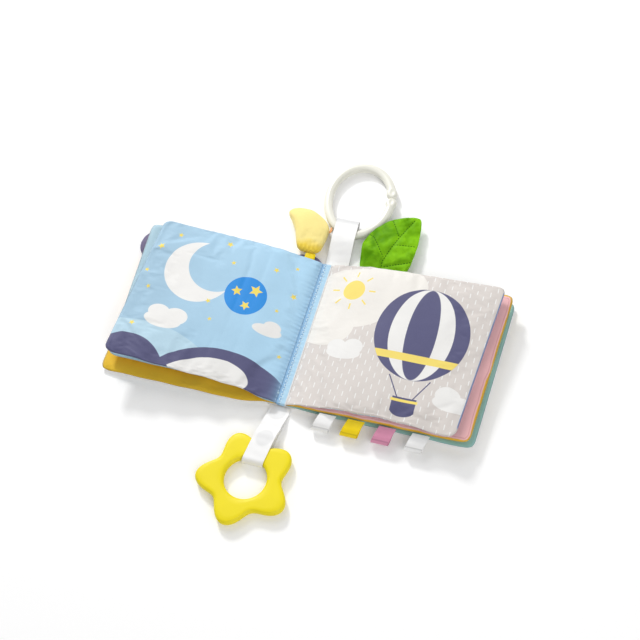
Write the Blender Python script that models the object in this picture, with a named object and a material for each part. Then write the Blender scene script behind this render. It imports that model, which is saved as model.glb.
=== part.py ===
"""Crinkle cloth book, lying open: six padded leaves on a sewn spine, with a carrier ring,
a flower teether, a crinkle leaf flap, a stuffed charm and four ribbon tags.

Metres, +Z up. X runs across the open book, Y runs along the spine towards the carrier ring.
The origin is the middle of the spine on the surface that the book lies on.
"""

import math

import bmesh
import bpy

# Leaves: one padded sheet of two fabrics sewn face to face round its edge
LEAF_HALF_HEIGHT = 0.0605
LEAF_LOFT = 0.0052
SEAM_THICKNESS = 0.0011
FABRIC_THICKNESS = 0.0004
FILM_THICKNESS = 0.0002
EDGE_TAPER = 0.022
SPINE_TAPER = 0.045
CORNER_RADIUS = 0.006
EDGE_DRAW_IN = 0.0005
STUFFING_EDGE_MARGIN = 0.0045
STUFFING_SPINE_MARGIN = 0.016
LEAF_COLUMN_STEP = 0.030

# Widths of the leaves from the hinge line to their outer edge, at the top and at the bottom
FRONT_COVER_WIDTHS = (0.1345, 0.1348)
LEFT_MIDDLE_WIDTHS = (0.1372, 0.1305)
LEFT_TOP_WIDTHS = (0.1250, 0.1285)
BACK_COVER_WIDTHS = (0.1404, 0.1345)
RIGHT_MIDDLE_WIDTHS = (0.1386, 0.1312)
RIGHT_TOP_WIDTHS = (0.1320, 0.1213)

# How far the outer corners fan up from the stack, at the top and at the bottom
COVER_FANS = (0.0, 0.0)
LEFT_MIDDLE_FANS = (0.0062, 0.0022)
LEFT_TOP_FANS = (0.0090, 0.0110)
RIGHT_MIDDLE_FANS = (0.0040, 0.0012)
RIGHT_TOP_FANS = (0.0068, 0.0014)
FAN_POWER = 1.5

# How far the lower edges of the leaves reach past the leaf height, growing from the spine
FRONT_COVER_OVERHANG = 0.0036
LEFT_MIDDLE_OVERHANG = -0.0055
LEFT_TOP_OVERHANG = -0.0015
BACK_COVER_OVERHANG = 0.0010
RIGHT_MIDDLE_OVERHANG = 0.0006
RIGHT_TOP_OVERHANG = 0.0
OVERHANG_TAPER = 0.025

# Clearances
GAP = 0.0003
LEAF_HINGE_GAP = 0.0004
SEAM_ATTACHMENT_GAP = 0.0003

# Spine
HINGE_OFFSET = 0.0030
SPINE_PANEL_HALF_WIDTH = 0.0100
SPINE_PANEL_THICKNESS = 0.0012
SPINE_PANEL_FALL = 0.0080
BINDING_HALF_WIDTH = 0.0028
BINDING_THICKNESS = 0.0005
STITCH_RIDGE_HALF_WIDTH = 0.0007
STITCH_RIDGE_THICKNESS = 0.0005
SPINE_EDGE_BEVEL = 0.00012

# Ribbons: a sewn tail at the seam, then two layers that part into a loop
RIBBON_THICKNESS = 0.0004
RIBBON_LAYER_SPACING = 0.0007
RIBBON_TAIL_LENGTH = 0.0026
RIBBON_FLOOR_GAP = 0.0001
STRAP_SEAT_HEIGHT = 0.0007

# Carrier strap: a ribbon loop that lies along +Y and holds the ring
CARRIER_STRAP_WIDTH = 0.0176
CARRIER_STRAP_X = 0.0062
CARRIER_STRAP_LENGTH = 0.0424
CARRIER_STRAP_LEAN_DEG = 2.0

# Carrier ring: an egg-shaped split ring
RING_TUBE_WIDTH = 0.0070
RING_TUBE_HEIGHT = 0.0056
RING_RIDGE_HEIGHT = 0.0005
RING_HALF_WIDTH = 0.0246
RING_TOP_LENGTH = 0.0310
RING_BOTTOM_LENGTH = 0.0346
RING_BASE_X = 0.0104
RING_SEAT_DISTANCE = 0.0304
RING_LEAN_DEG = 4.4
RING_SPLIT_DEG = 6.0
RING_SPLIT_GAP = 0.0006
RING_KNUCKLE_RADIUS = 0.0045
RING_KNUCKLE_RISE = 0.0004
RING_DIMPLE_RADIUS = 0.0030
RING_DIMPLE_DEPTH = 0.0010
RING_STATIONS = 44

# Teether strap: a ribbon loop that lies along -Y and holds the flower
TEETHER_STRAP_WIDTH = 0.0150
TEETHER_STRAP_X = 0.0002
TEETHER_STRAP_LENGTH = 0.0480
TEETHER_STRAP_LEAN_DEG = 6.9
TEETHER_WAVE = 0.0020

# Flower teether: a flat five-lobed silicone plate with a round hole
FLOWER_THICKNESS = 0.0058
FLOWER_LOBE_RADIUS = 0.0350
FLOWER_VALLEY_RADIUS = 0.0247
FLOWER_HOLE_RADIUS = 0.0148
FLOWER_EDGE_ROUND = 0.0016
FLOWER_LOBES = 5
FLOWER_X = -0.0067
FLOWER_SEAT_DISTANCE = 0.0592
FLOWER_TURN_DEG = 116.9
FLOWER_STATIONS = 60

# Crinkle leaf flap, sewn into the top seam of the back cover
FLAP_BASE_X = 0.0405
FLAP_LENGTH = 0.0560
FLAP_WIDTH = 0.0430
FLAP_LOFT = 0.0026
FLAP_RISE_LENGTH = 0.0270
FLAP_SIDE_DROOP = 0.0030
FLAP_RING_CLEARANCE = 0.0005

# Stuffed charm on a ribbon stem, sewn into the top seam of the left middle leaf
CHARM_X = -0.0150
CHARM_LENGTH = 0.0385
CHARM_WIDTH = 0.0370
CHARM_LOFT = 0.0118
CHARM_BASE_DISTANCE = 0.0062
CHARM_STEM_WIDTH = 0.0080
CHARM_STEM_THICKNESS = 0.0008
CHARM_FLOOR_GAP = 0.0003
CHARM_TAB_LENGTH = 0.0018
CHARM_TAB_WIDTH = 0.0056
CHARM_TAB_DISTANCE = 0.0290
CHARM_TAB_X = -0.0066

# Ribbon tags, sewn into the bottom seam of the right middle leaf
TAG_WIDTH = 0.0118
TAG_LENGTH = 0.0118
TAG_LEAN_DEG = 17.0
TAG_END_HEIGHT = 0.0032
TAG_DROOP = 0.0036
TAG_PLACES = (0.0353, 0.0558, 0.0780, 0.1014)
TAG_NAMES = ("tag_white_inner", "tag_yellow", "tag_mauve", "tag_white_outer")

# Padded ear tabs, sewn into the seam of the front cover
EAR_RADIUS = 0.0122
EAR_LOFT = 0.0036
SIDE_EAR_HEIGHT_SHARE = 0.80
SIDE_EAR_REACH = 0.0100
TOP_EAR_X = -0.0170
TOP_EAR_REACH = 0.0056
EAR_ARC_DEG = 180.0

# Outlines, as shares of a piece's width and length, running anticlockwise from its base
FLAP_OUTLINE_SHARES = (
    (-0.337, 0.000), (0.000, 0.000), (0.340, 0.000), (0.440, 0.100), (0.510, 0.400),
    (0.505, 0.680), (0.460, 0.920), (0.385, 0.985), (0.220, 0.945), (-0.035, 0.865),
    (-0.280, 0.675), (-0.435, 0.440), (-0.430, 0.220), (-0.395, 0.070),
)
CHARM_OUTLINE_SHARES = (
    (-0.260, 0.010), (-0.020, -0.020), (0.150, 0.060), (0.205, 0.260), (0.225, 0.480),
    (0.215, 0.620), (0.110, 0.760), (-0.090, 0.890), (-0.360, 0.985), (-0.610, 0.960),
    (-0.745, 0.830), (-0.640, 0.660), (-0.480, 0.420), (-0.380, 0.160),
)
KNUCKLE_STATION_SHARES = (0.0, 0.12, 0.35, 0.70, 1.00, 1.35, 1.70, 1.90, 2.00)
FLAP_RING_SHARES = (1.0, 0.94, 0.80, 0.45)
CHARM_RING_SHARES = (1.0, 0.95, 0.84, 0.62, 0.32)
EAR_RING_SHARES = (1.0, 0.88, 0.55)

# Colours and finishes: red, green, blue, roughness
BLUE_PRINT = (0.430, 0.660, 0.810, 0.55)
PALE_TEAL = (0.420, 0.680, 0.740, 0.60)
MUSTARD = (0.680, 0.420, 0.030, 0.60)
WARM_GREY = (0.780, 0.740, 0.700, 0.55)
PINK = (0.740, 0.360, 0.400, 0.60)
TEAL = (0.240, 0.520, 0.480, 0.60)
COVER_CLOTH = (0.860, 0.840, 0.800, 0.60)
BINDING_BLUE = (0.310, 0.600, 0.850, 0.55)
NAVY = (0.100, 0.100, 0.190, 0.60)
SATIN_WHITE = (0.880, 0.880, 0.880, 0.30)
RIBBON_YELLOW = (0.930, 0.640, 0.010, 0.35)
RIBBON_MAUVE = (0.640, 0.190, 0.370, 0.35)
IVORY = (0.860, 0.850, 0.760, 0.35)
SILICONE_YELLOW = (0.860, 0.740, 0.020, 0.45)
LEAF_GREEN = (0.180, 0.550, 0.020, 0.45)
CHARM_YELLOW = (0.930, 0.770, 0.200, 0.70)
ORANGE = (0.900, 0.420, 0.120, 0.60)
FILM_GREY = (0.700, 0.720, 0.740, 0.20)
WADDING_WHITE = (0.850, 0.850, 0.840, 0.95)

LEFT, RIGHT = -1, 1
BOTTOM_LEVEL, MIDDLE_LEVEL, TOP_LEVEL = 0, 1, 2

LEAF_LOOKS = {
    "front_cover_leaf": (MUSTARD, COVER_CLOTH),
    "left_middle_leaf": (PALE_TEAL, MUSTARD),
    "left_top_leaf": (BLUE_PRINT, PALE_TEAL),
    "back_cover_leaf": (TEAL, COVER_CLOTH),
    "right_middle_leaf": (PINK, MUSTARD),
    "right_top_leaf": (WARM_GREY, BLUE_PRINT),
}

LEAVES = (
    ("front_cover_leaf", LEFT, BOTTOM_LEVEL, FRONT_COVER_WIDTHS, COVER_FANS, FRONT_COVER_OVERHANG),
    ("left_middle_leaf", LEFT, MIDDLE_LEVEL, LEFT_MIDDLE_WIDTHS, LEFT_MIDDLE_FANS, LEFT_MIDDLE_OVERHANG),
    ("left_top_leaf", LEFT, TOP_LEVEL, LEFT_TOP_WIDTHS, LEFT_TOP_FANS, LEFT_TOP_OVERHANG),
    ("back_cover_leaf", RIGHT, BOTTOM_LEVEL, BACK_COVER_WIDTHS, COVER_FANS, BACK_COVER_OVERHANG),
    ("right_middle_leaf", RIGHT, MIDDLE_LEVEL, RIGHT_MIDDLE_WIDTHS, RIGHT_MIDDLE_FANS, RIGHT_MIDDLE_OVERHANG),
    ("right_top_leaf", RIGHT, TOP_LEVEL, RIGHT_TOP_WIDTHS, RIGHT_TOP_FANS, RIGHT_TOP_OVERHANG),
)

SPINE_REST = SPINE_PANEL_THICKNESS + GAP
LEAF_START = HINGE_OFFSET + LEAF_HINGE_GAP
HINGE_HEIGHT = SPINE_REST + 1.5 * SEAM_THICKNESS + GAP
LEAF_REST_REACH = SPINE_PANEL_HALF_WIDTH - LEAF_START + LEAF_HINGE_GAP
SEAM_LINE = LEAF_HALF_HEIGHT + SEAM_ATTACHMENT_GAP
RIBBON_TAIL_THICKNESS = RIBBON_LAYER_SPACING + RIBBON_THICKNESS
STRAP_AXIS_Y = SEAM_LINE + 0.5 * RIBBON_TAIL_THICKNESS
LOWER_LAYER_HEIGHT = RIBBON_FLOOR_GAP + 0.5 * RIBBON_THICKNESS
RING_FLOOR = RIBBON_FLOOR_GAP + RIBBON_THICKNESS + GAP
RING_TOP = RING_FLOOR + RING_TUBE_HEIGHT + RING_RIDGE_HEIGHT
RING_BASE_Y = STRAP_AXIS_Y + RING_SEAT_DISTANCE
FLOWER_TOP = RING_FLOOR + FLOWER_THICKNESS
FLOWER_CENTRE = (FLOWER_X, -STRAP_AXIS_Y - FLOWER_SEAT_DISTANCE)


def clear_scene():
    for obj in list(bpy.data.objects):
        bpy.data.objects.remove(obj, do_unlink=True)


def material(name, look):
    made = bpy.data.materials.new(name)
    made.use_nodes = True
    shader = made.node_tree.nodes["Principled BSDF"]
    shader.inputs["Base Color"].default_value = (look[0], look[1], look[2], 1.0)
    shader.inputs["Roughness"].default_value = look[3]
    shader.inputs["Metallic"].default_value = 0.0
    return made


def finished(name, mesh_editor, look):
    """Turns the edited mesh into an object with outward normals, smooth shading and its own finish."""
    bmesh.ops.recalc_face_normals(mesh_editor, faces=mesh_editor.faces)
    mesh = bpy.data.meshes.new(name)
    mesh_editor.to_mesh(mesh)
    mesh_editor.free()
    mesh.shade_smooth()
    mesh.set_sharp_from_angle(angle=math.radians(40.0))
    mesh.materials.append(material(name, look))
    obj = bpy.data.objects.new(name, mesh)
    bpy.context.scene.collection.objects.link(obj)
    return obj


def joint_empty(name, place):
    """An empty on the axis of a joint, for the pieces that turn about it."""
    empty = bpy.data.objects.new(name, None)
    empty.location = place
    bpy.context.scene.collection.objects.link(empty)
    return empty


def ride_on(empty, objects):
    for obj in objects:
        obj.parent = empty
        obj.matrix_parent_inverse.identity()
        obj.location = [-value for value in empty.location]


def smooth_step(value):
    held = min(max(value, 0.0), 1.0)
    return held * held * (3.0 - 2.0 * held)


def turned(x, y, angle):
    return x * math.cos(angle) - y * math.sin(angle), x * math.sin(angle) + y * math.cos(angle)


# Leaf surfaces


def spine_fill(reach):
    """How full the padding is at a distance from the spine, from 0 to 1."""
    return 1.0 - (1.0 - min(reach / SPINE_TAPER, 1.0)) ** 1.6


def edge_fill(distance):
    """How full the padding is at a distance from a sewn edge, from 0 to 1."""
    return math.sqrt(1.0 - (1.0 - min(distance / EDGE_TAPER, 1.0)) ** 2)


def full_thickness(reach):
    return SEAM_THICKNESS + (LEAF_LOFT - SEAM_THICKNESS) * spine_fill(reach)


def seam_height(level, fans, reach_share, reach, along_share):
    """Height of the plane that a leaf's seam lies in."""
    rest = SPINE_REST * (1.0 - smooth_step((reach - LEAF_REST_REACH) / SPINE_PANEL_FALL))
    fan = fans[1] + (fans[0] - fans[1]) * (0.5 + 0.5 * along_share)
    stacked = (level + 0.5) * full_thickness(reach) + level * GAP
    return rest + stacked + fan * reach_share ** FAN_POWER


def leaf_width(widths, along_share):
    return widths[1] + (widths[0] - widths[1]) * (0.5 + 0.5 * along_share) - LEAF_HINGE_GAP


def lower_reach(overhang, reach):
    """How far a leaf's lower edge reaches past the leaf height at a distance from the spine."""
    return overhang * smooth_step((reach - LEAF_REST_REACH) / OVERHANG_TAPER)


def row_stations():
    """Distances along the spine, closest near the top and bottom edges."""
    half = [
        0.0,
        0.58 * LEAF_HALF_HEIGHT,
        LEAF_HALF_HEIGHT - CORNER_RADIUS,
        LEAF_HALF_HEIGHT - STUFFING_EDGE_MARGIN,
        LEAF_HALF_HEIGHT - 0.45 * STUFFING_EDGE_MARGIN,
        LEAF_HALF_HEIGHT,
    ]
    return [-value for value in reversed(half[1:])] + half


def column_stations(width):
    """Distances from the leaf's inner edge, closest near the outer edge."""
    from_spine = [
        0.0,
        0.55 * STUFFING_SPINE_MARGIN,
        STUFFING_SPINE_MARGIN,
        STUFFING_SPINE_MARGIN + 0.5 * LEAF_COLUMN_STEP,
        STUFFING_SPINE_MARGIN + 1.3 * LEAF_COLUMN_STEP,
        STUFFING_SPINE_MARGIN + 2.3 * LEAF_COLUMN_STEP,
    ]
    to_edge = [EDGE_TAPER, CORNER_RADIUS, STUFFING_EDGE_MARGIN, 0.45 * STUFFING_EDGE_MARGIN, 0.0]
    return from_spine + [width - value for value in to_edge]


COLUMNS, ROWS = 11, 11
STUFFING_COLUMNS, STUFFING_ROWS = (2, 8), (2, 8)


def rounded_corner(from_edge, from_side):
    """Moves a point of a square corner onto the round one."""
    across, along = CORNER_RADIUS - from_edge, CORNER_RADIUS - from_side
    if min(across, along) <= 0.0:
        return from_edge, from_side
    share = max(across, along) / math.hypot(across, along)
    return CORNER_RADIUS - across * share, CORNER_RADIUS - along * share


def leaf_point(leaf, column, row):
    """Place of a grid point in plan, with the leaf's seam height and thickness there."""
    _, side, level, widths, fans, overhang = leaf
    along = row_stations()[row]
    along_share = along / LEAF_HALF_HEIGHT
    width = leaf_width(widths, along_share)
    reach = column_stations(width)[column]
    from_edge, from_side = width - reach, LEAF_HALF_HEIGHT - abs(along)
    fill = spine_fill(reach) * edge_fill(from_edge) * edge_fill(from_side)
    thickness = SEAM_THICKNESS + (LEAF_LOFT - SEAM_THICKNESS) * fill
    height = seam_height(level, fans, reach / width, reach, along_share)
    round_edge, round_side = rounded_corner(from_edge, from_side)
    drawn = EDGE_DRAW_IN * math.cos(0.5 * math.pi * along_share)
    drawn_side = EDGE_DRAW_IN * math.sin(math.pi * min(reach / width, 1.0))
    x = LEAF_START + (width - round_edge) - drawn * (reach / width) ** 4
    y = math.copysign(LEAF_HALF_HEIGHT - round_side, along) if along else 0.0
    y *= 1.0 - drawn_side / LEAF_HALF_HEIGHT
    y -= lower_reach(overhang, reach) * (0.5 - 0.5 * y / LEAF_HALF_HEIGHT)
    return side * x, y, height, thickness


def quilted_layer(name, leaf, look, heights, columns=(0, COLUMNS - 1), rows=(0, ROWS - 1)):
    """A closed sheet of the leaf between two heights, which follow its seam height and thickness."""
    editor = bmesh.new()
    sheets = []
    for pick in (0, 1):
        sheet = []
        for i in range(columns[0], columns[1] + 1):
            line = []
            for j in range(rows[0], rows[1] + 1):
                x, y, height, thickness = leaf_point(leaf, i, j)
                line.append(editor.verts.new((x, y, heights(height, thickness)[pick])))
            sheet.append(line)
        sheets.append(sheet)
    close_sheets(editor, sheets)
    return finished(name, editor, look)


def close_sheets(editor, sheets):
    """Faces over two matching grids of points and round their edge."""
    for sheet in sheets:
        for i in range(len(sheet) - 1):
            for j in range(len(sheet[0]) - 1):
                corner = (sheet[i][j], sheet[i + 1][j], sheet[i + 1][j + 1], sheet[i][j + 1])
                editor.faces.new((corner[0], corner[1], corner[2]))
                editor.faces.new((corner[0], corner[2], corner[3]))
    lower, upper = (edge_loop(sheet) for sheet in sheets)
    for k, point in enumerate(lower):
        after = (k + 1) % len(lower)
        editor.faces.new((point, lower[after], upper[after]))
        editor.faces.new((point, upper[after], upper[k]))


def edge_loop(sheet):
    first, last = sheet[0], sheet[-1]
    loop = list(first)
    loop += [line[-1] for line in sheet[1:-1]]
    loop += list(reversed(last))
    loop += [line[0] for line in reversed(sheet[1:-1])]
    return loop


def leaf(description):
    """The four pieces of one leaf: two fabric panels, the crinkle film and the wadding."""
    name = description[0]
    upper_look, lower_look = LEAF_LOOKS[name]

    def upper_panel(height, thickness):
        top = height + 0.5 * thickness
        return top - FABRIC_THICKNESS, top

    def lower_panel(height, thickness):
        bottom = height - 0.5 * thickness
        return bottom, bottom + FABRIC_THICKNESS

    def film(height, thickness):
        top = height + 0.5 * thickness - FABRIC_THICKNESS - GAP
        return top - FILM_THICKNESS, top

    def wadding(height, thickness):
        bottom = height - 0.5 * thickness + FABRIC_THICKNESS + GAP
        return bottom, film(height, thickness)[0] - GAP

    inside = {"columns": STUFFING_COLUMNS, "rows": STUFFING_ROWS}
    return [
        quilted_layer(name + "_upper_panel", description, upper_look, upper_panel),
        quilted_layer(name + "_lower_panel", description, lower_look, lower_panel),
        quilted_layer(name + "_crinkle_film", description, FILM_GREY, film, **inside),
        quilted_layer(name + "_wadding", description, WADDING_WHITE, wadding, **inside),
    ]


def seam_at(description, x, along_share):
    """Seam height of a leaf where its top (1) or bottom (-1) edge crosses a place along X."""
    _, _, level, widths, fans, _ = description
    reach = abs(x) - LEAF_START
    return seam_height(level, fans, reach / leaf_width(widths, along_share), reach, along_share)


# Spine


def flat_strip(name, half_width, low, thickness, look):
    """A flat strip along the whole spine, with softened edges."""
    editor = bmesh.new()
    bmesh.ops.create_cube(editor, size=2.0)
    for vert in editor.verts:
        vert.co.x *= half_width
        vert.co.y *= LEAF_HALF_HEIGHT
        vert.co.z = low + thickness * (0.5 + 0.5 * vert.co.z)
    long_edges = [edge for edge in editor.edges if edge.verts[0].co.y != edge.verts[1].co.y]
    bmesh.ops.bevel(editor, geom=long_edges, offset=SPINE_EDGE_BEVEL, segments=2, affect="EDGES")
    return finished(name, editor, look)


def spine():
    """The cover cloth under the spine, the binding over the leaf margins and the ridge of stitches."""
    binding_low = SPINE_REST
    ridge_low = binding_low + BINDING_THICKNESS + GAP
    return [
        flat_strip("cover_spine_panel", SPINE_PANEL_HALF_WIDTH, 0.0, SPINE_PANEL_THICKNESS, COVER_CLOTH),
        flat_strip("spine_binding", BINDING_HALF_WIDTH, binding_low, BINDING_THICKNESS, BINDING_BLUE),
        flat_strip("spine_stitch_ridge", STITCH_RIDGE_HALF_WIDTH, ridge_low, STITCH_RIDGE_THICKNESS, NAVY),
    ]


# Ribbons


def arc(centre, radius, start_deg, end_deg, steps):
    """Points of an arc, with both of its ends."""
    points = []
    for k in range(steps + 1):
        angle = math.radians(start_deg + (end_deg - start_deg) * k / steps)
        points.append((centre[0] + radius * math.cos(angle), centre[1] + radius * math.sin(angle)))
    return points


def offset_line(line, distance):
    """Points of an open line, moved to its left by a distance."""
    moved = []
    for k, (y, z) in enumerate(line):
        before, after = line[max(k - 1, 0)], line[min(k + 1, len(line) - 1)]
        run, rise = after[0] - before[0], after[1] - before[1]
        size = math.hypot(run, rise)
        moved.append((y - distance * rise / size, z + distance * run / size))
    return moved


def ribbon_loop(name, width, seat, path, lean, look):
    """A ribbon folded into a loop and sewn shut at its tail.

    The path runs out along the lower layer and back along the upper one. Its distances are taken
    from the seat, whose middle number says which way the loop points along the spine.
    """
    half = 0.5 * RIBBON_THICKNESS
    tail = arc((0.0, 0.0), 0.5 * RIBBON_TAIL_THICKNESS, 90.0, 270.0, 6)
    outer, inner = offset_line(path, -half), offset_line(path, half)
    facing = math.copysign(1.0, seat[1])
    editor = bmesh.new()
    rings = []
    for across in (-0.5 * width, 0.5 * width):
        for outline in (tail + outer, inner):
            ring = []
            for y, z in outline:
                x = seat[0] + across - y * math.tan(lean)
                ring.append(editor.verts.new((x, seat[1] + facing * y, seat[2] + z)))
            rings.append(ring)
    for outer_ring, inner_ring in (rings[:2], rings[2:]):
        close_side(editor, outer_ring, inner_ring, len(tail))
    join_rings(editor, rings[0], rings[2])
    join_rings(editor, rings[1], rings[3])
    return finished(name, editor, look)


def close_side(editor, outer_ring, inner_ring, tail_points):
    """The side of a ribbon loop: a strip along both layers and a fan over the sewn tail."""
    outer = outer_ring[tail_points:]
    for k in range(len(outer) - 1):
        editor.faces.new((outer[k], outer[k + 1], inner_ring[k + 1], inner_ring[k]))
    editor.faces.new([inner_ring[0], inner_ring[-1], outer[-1]] + outer_ring[:tail_points] + [outer[0]])


def join_rings(editor, first, second):
    for k in range(len(first)):
        after = (k + 1) % len(first)
        editor.faces.new((first[k], first[after], second[after], second[k]))


def strap_path(length, held_top, held_from, waviness=0.0, steps=14):
    """Centre line of a strap loop, with heights from its seat.

    The lower layer lies on the ground. The upper one climbs until it clears the held piece, runs
    over it and comes round to the lower layer in a half circle.
    """
    spread = 0.5 * RIBBON_LAYER_SPACING
    low = LOWER_LAYER_HEIGHT - STRAP_SEAT_HEIGHT
    high = held_top + GAP + 0.5 * RIBBON_THICKNESS - STRAP_SEAT_HEIGHT
    radius = 0.5 * (high - low)
    turn = length - radius
    lower, upper = [], []
    for k in range(steps + 1):
        y = RIBBON_TAIL_LENGTH + (turn - RIBBON_TAIL_LENGTH) * k / steps
        fall = smooth_step(4.0 * k / steps)
        lower.append((y, -spread + (low + spread) * fall))
        climb = smooth_step((y - RIBBON_TAIL_LENGTH) / (held_from - RIBBON_TAIL_LENGTH))
        ripple = math.sin(2.0 * math.pi * climb) ** 2
        upper.append((y, spread + (high - spread) * climb + waviness * ripple))
    return lower[:-1] + arc((turn, low + radius), radius, -90.0, 90.0, 8) + upper[-2::-1]


def carrier_strap():
    seat = (CARRIER_STRAP_X, STRAP_AXIS_Y, STRAP_SEAT_HEIGHT)
    tube = RING_SEAT_DISTANCE - 0.5 * RING_TUBE_WIDTH - GAP
    path = strap_path(CARRIER_STRAP_LENGTH, RING_TOP, tube)
    lean = math.radians(CARRIER_STRAP_LEAN_DEG)
    return ribbon_loop("carrier_strap", CARRIER_STRAP_WIDTH, seat, path, lean, SATIN_WHITE)


def teether_strap():
    seat = (TEETHER_STRAP_X, -STRAP_AXIS_Y, STRAP_SEAT_HEIGHT)
    rim = FLOWER_SEAT_DISTANCE - FLOWER_VALLEY_RADIUS - GAP
    path = strap_path(TEETHER_STRAP_LENGTH, FLOWER_TOP, rim, TEETHER_WAVE)
    lean = math.radians(TEETHER_STRAP_LEAN_DEG)
    return ribbon_loop("teether_strap", TEETHER_STRAP_WIDTH, seat, path, lean, SATIN_WHITE)


def tag_path(steps=5):
    """Centre line of a folded tag, with its two layers parting and drooping towards the fold."""
    radius = 0.5 * (TAG_END_HEIGHT - RIBBON_THICKNESS)
    turn = TAG_LENGTH - 0.5 * TAG_END_HEIGHT
    lower, upper = [], []
    for k in range(steps + 1):
        share = k / steps
        y = RIBBON_TAIL_LENGTH + (turn - RIBBON_TAIL_LENGTH) * share
        spread = 0.5 * RIBBON_LAYER_SPACING
        spread += (radius - spread) * smooth_step(share)
        droop = -TAG_DROOP * share ** 1.5
        lower.append((y, droop - spread))
        upper.append((y, droop + spread))
    return lower[:-1] + arc((turn, -TAG_DROOP), radius, -90.0, 90.0, 6) + upper[-2::-1]


def tag_seat(index):
    x = TAG_PLACES[index]
    seam_leaf = LEAVES[4]
    y = -STRAP_AXIS_Y - lower_reach(seam_leaf[5], x - LEAF_START)
    return x, y, seam_at(seam_leaf, x, -1.0)


def tags():
    looks = (SATIN_WHITE, RIBBON_YELLOW, RIBBON_MAUVE, SATIN_WHITE)
    lean = math.radians(TAG_LEAN_DEG)
    made = []
    for index, name in enumerate(TAG_NAMES):
        made.append(ribbon_loop(name, TAG_WIDTH, tag_seat(index), tag_path(), lean, looks[index]))
    return made


# Carrier ring


def egg_point(angle):
    """Place on the ring's centre line and the outward direction there, before the ring leans."""
    across = RING_HALF_WIDTH * math.cos(angle)
    length = RING_TOP_LENGTH if math.sin(angle) > 0.0 else RING_BOTTOM_LENGTH
    along = RING_BOTTOM_LENGTH + length * math.sin(angle)
    normal = (length * math.cos(angle), RING_HALF_WIDTH * math.sin(angle))
    size = math.hypot(*normal)
    return (across, along), (normal[0] / size, normal[1] / size)


def ring_section(half_width, half_height, ridge):
    """Section of the ring as (outward, up), raised or hollowed by the ridge along its top."""
    top = ((1.0, 0.30), (0.82, 0.80), (0.42, 1.0))
    section = [(half_width * x, half_height * z) for x, z in top]
    section.append((0.0, half_height + ridge))
    section += [(-half_width * x, half_height * z) for x, z in reversed(top)]
    section += [(-half_width, -0.30 * half_height), (-0.72 * half_width, -half_height)]
    section += [(0.72 * half_width, -half_height), (half_width, -0.30 * half_height)]
    return section


def knuckle_shape(from_end):
    """Half width, half height and ridge of the ring at a distance from one of its ends."""
    off = from_end - RING_KNUCKLE_RADIUS
    bulge = math.sqrt(max(RING_KNUCKLE_RADIUS ** 2 - off ** 2, 0.0))
    rounding = min(1.0, 0.5 + from_end / RING_KNUCKLE_RADIUS)
    rise = RING_KNUCKLE_RISE * bulge / RING_KNUCKLE_RADIUS
    dimple = RING_DIMPLE_DEPTH * max(1.0 - (off / RING_DIMPLE_RADIUS) ** 2, 0.0)
    ridge = RING_RIDGE_HEIGHT * smooth_step(off / RING_KNUCKLE_RADIUS)
    half_width = max(0.5 * RING_TUBE_WIDTH * rounding, bulge)
    half_height = 0.5 * RING_TUBE_HEIGHT * (0.8 + 0.2 * min(1.0, 4.0 * from_end / RING_KNUCKLE_RADIUS))
    return half_width, half_height + rise, ridge - dimple


def ring_stations():
    """Angles round the ring from one of its ends to the other, with the distance from the nearer end."""
    near = [share * RING_KNUCKLE_RADIUS for share in KNUCKLE_STATION_SHARES]
    first = [(0.5 * RING_SPLIT_GAP + distance) / RING_TOP_LENGTH for distance in near]
    last = [(0.5 * RING_SPLIT_GAP + distance) / RING_BOTTOM_LENGTH for distance in near]
    sweep = 2.0 * math.pi - first[-1] - last[-1]
    stations = list(zip(first, near))
    for k in range(1, RING_STATIONS):
        stations.append((first[-1] + sweep * k / RING_STATIONS, RING_HALF_WIDTH))
    stations += [(2.0 * math.pi - angle, distance) for angle, distance in zip(reversed(last), reversed(near))]
    return stations


def carrier_ring():
    """The split ring, swept from one round knuckle all the way round to the other."""
    editor = bmesh.new()
    middle = RING_FLOOR + 0.5 * RING_TUBE_HEIGHT
    rings = []
    for angle, from_end in ring_stations():
        (across, along), normal = egg_point(math.radians(RING_SPLIT_DEG) + angle)
        ring = []
        for out, up in ring_section(*knuckle_shape(from_end)):
            x, y = turned(across + out * normal[0], along + out * normal[1], math.radians(RING_LEAN_DEG))
            ring.append(editor.verts.new((RING_BASE_X + x, RING_BASE_Y + y, middle + up)))
        rings.append(ring)
    for first, second in zip(rings, rings[1:]):
        join_rings(editor, first, second)
    editor.faces.new(rings[0])
    editor.faces.new(list(reversed(rings[-1])))
    return finished("carrier_ring", editor, IVORY)


# Flower teether


def flower_radius(angle):
    middle = 0.5 * (FLOWER_LOBE_RADIUS + FLOWER_VALLEY_RADIUS)
    swing = 0.5 * (FLOWER_LOBE_RADIUS - FLOWER_VALLEY_RADIUS)
    return middle + swing * math.cos(FLOWER_LOBES * (angle - math.radians(FLOWER_TURN_DEG)))


def flower():
    """The flower plate, swept round its hole with rounded edges."""
    editor = bmesh.new()
    soft = FLOWER_EDGE_ROUND
    low, high = RING_FLOOR, RING_FLOOR + FLOWER_THICKNESS
    rings = []
    for k in range(FLOWER_STATIONS):
        angle = 2.0 * math.pi * k / FLOWER_STATIONS
        outer = flower_radius(angle)
        section = [
            (FLOWER_HOLE_RADIUS, low + soft), (FLOWER_HOLE_RADIUS + soft, low),
            (outer - soft, low), (outer, low + soft), (outer, high - soft),
            (outer - soft, high), (FLOWER_HOLE_RADIUS + soft, high), (FLOWER_HOLE_RADIUS, high - soft),
        ]
        ring = []
        for radius, z in section:
            x = FLOWER_CENTRE[0] + radius * math.cos(angle)
            y = FLOWER_CENTRE[1] + radius * math.sin(angle)
            ring.append(editor.verts.new((x, y, z)))
        rings.append(ring)
    for k, ring in enumerate(rings):
        join_rings(editor, ring, rings[(k + 1) % len(rings)])
    return finished("flower_teether", editor, SILICONE_YELLOW)


# Stuffed shapes


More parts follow.
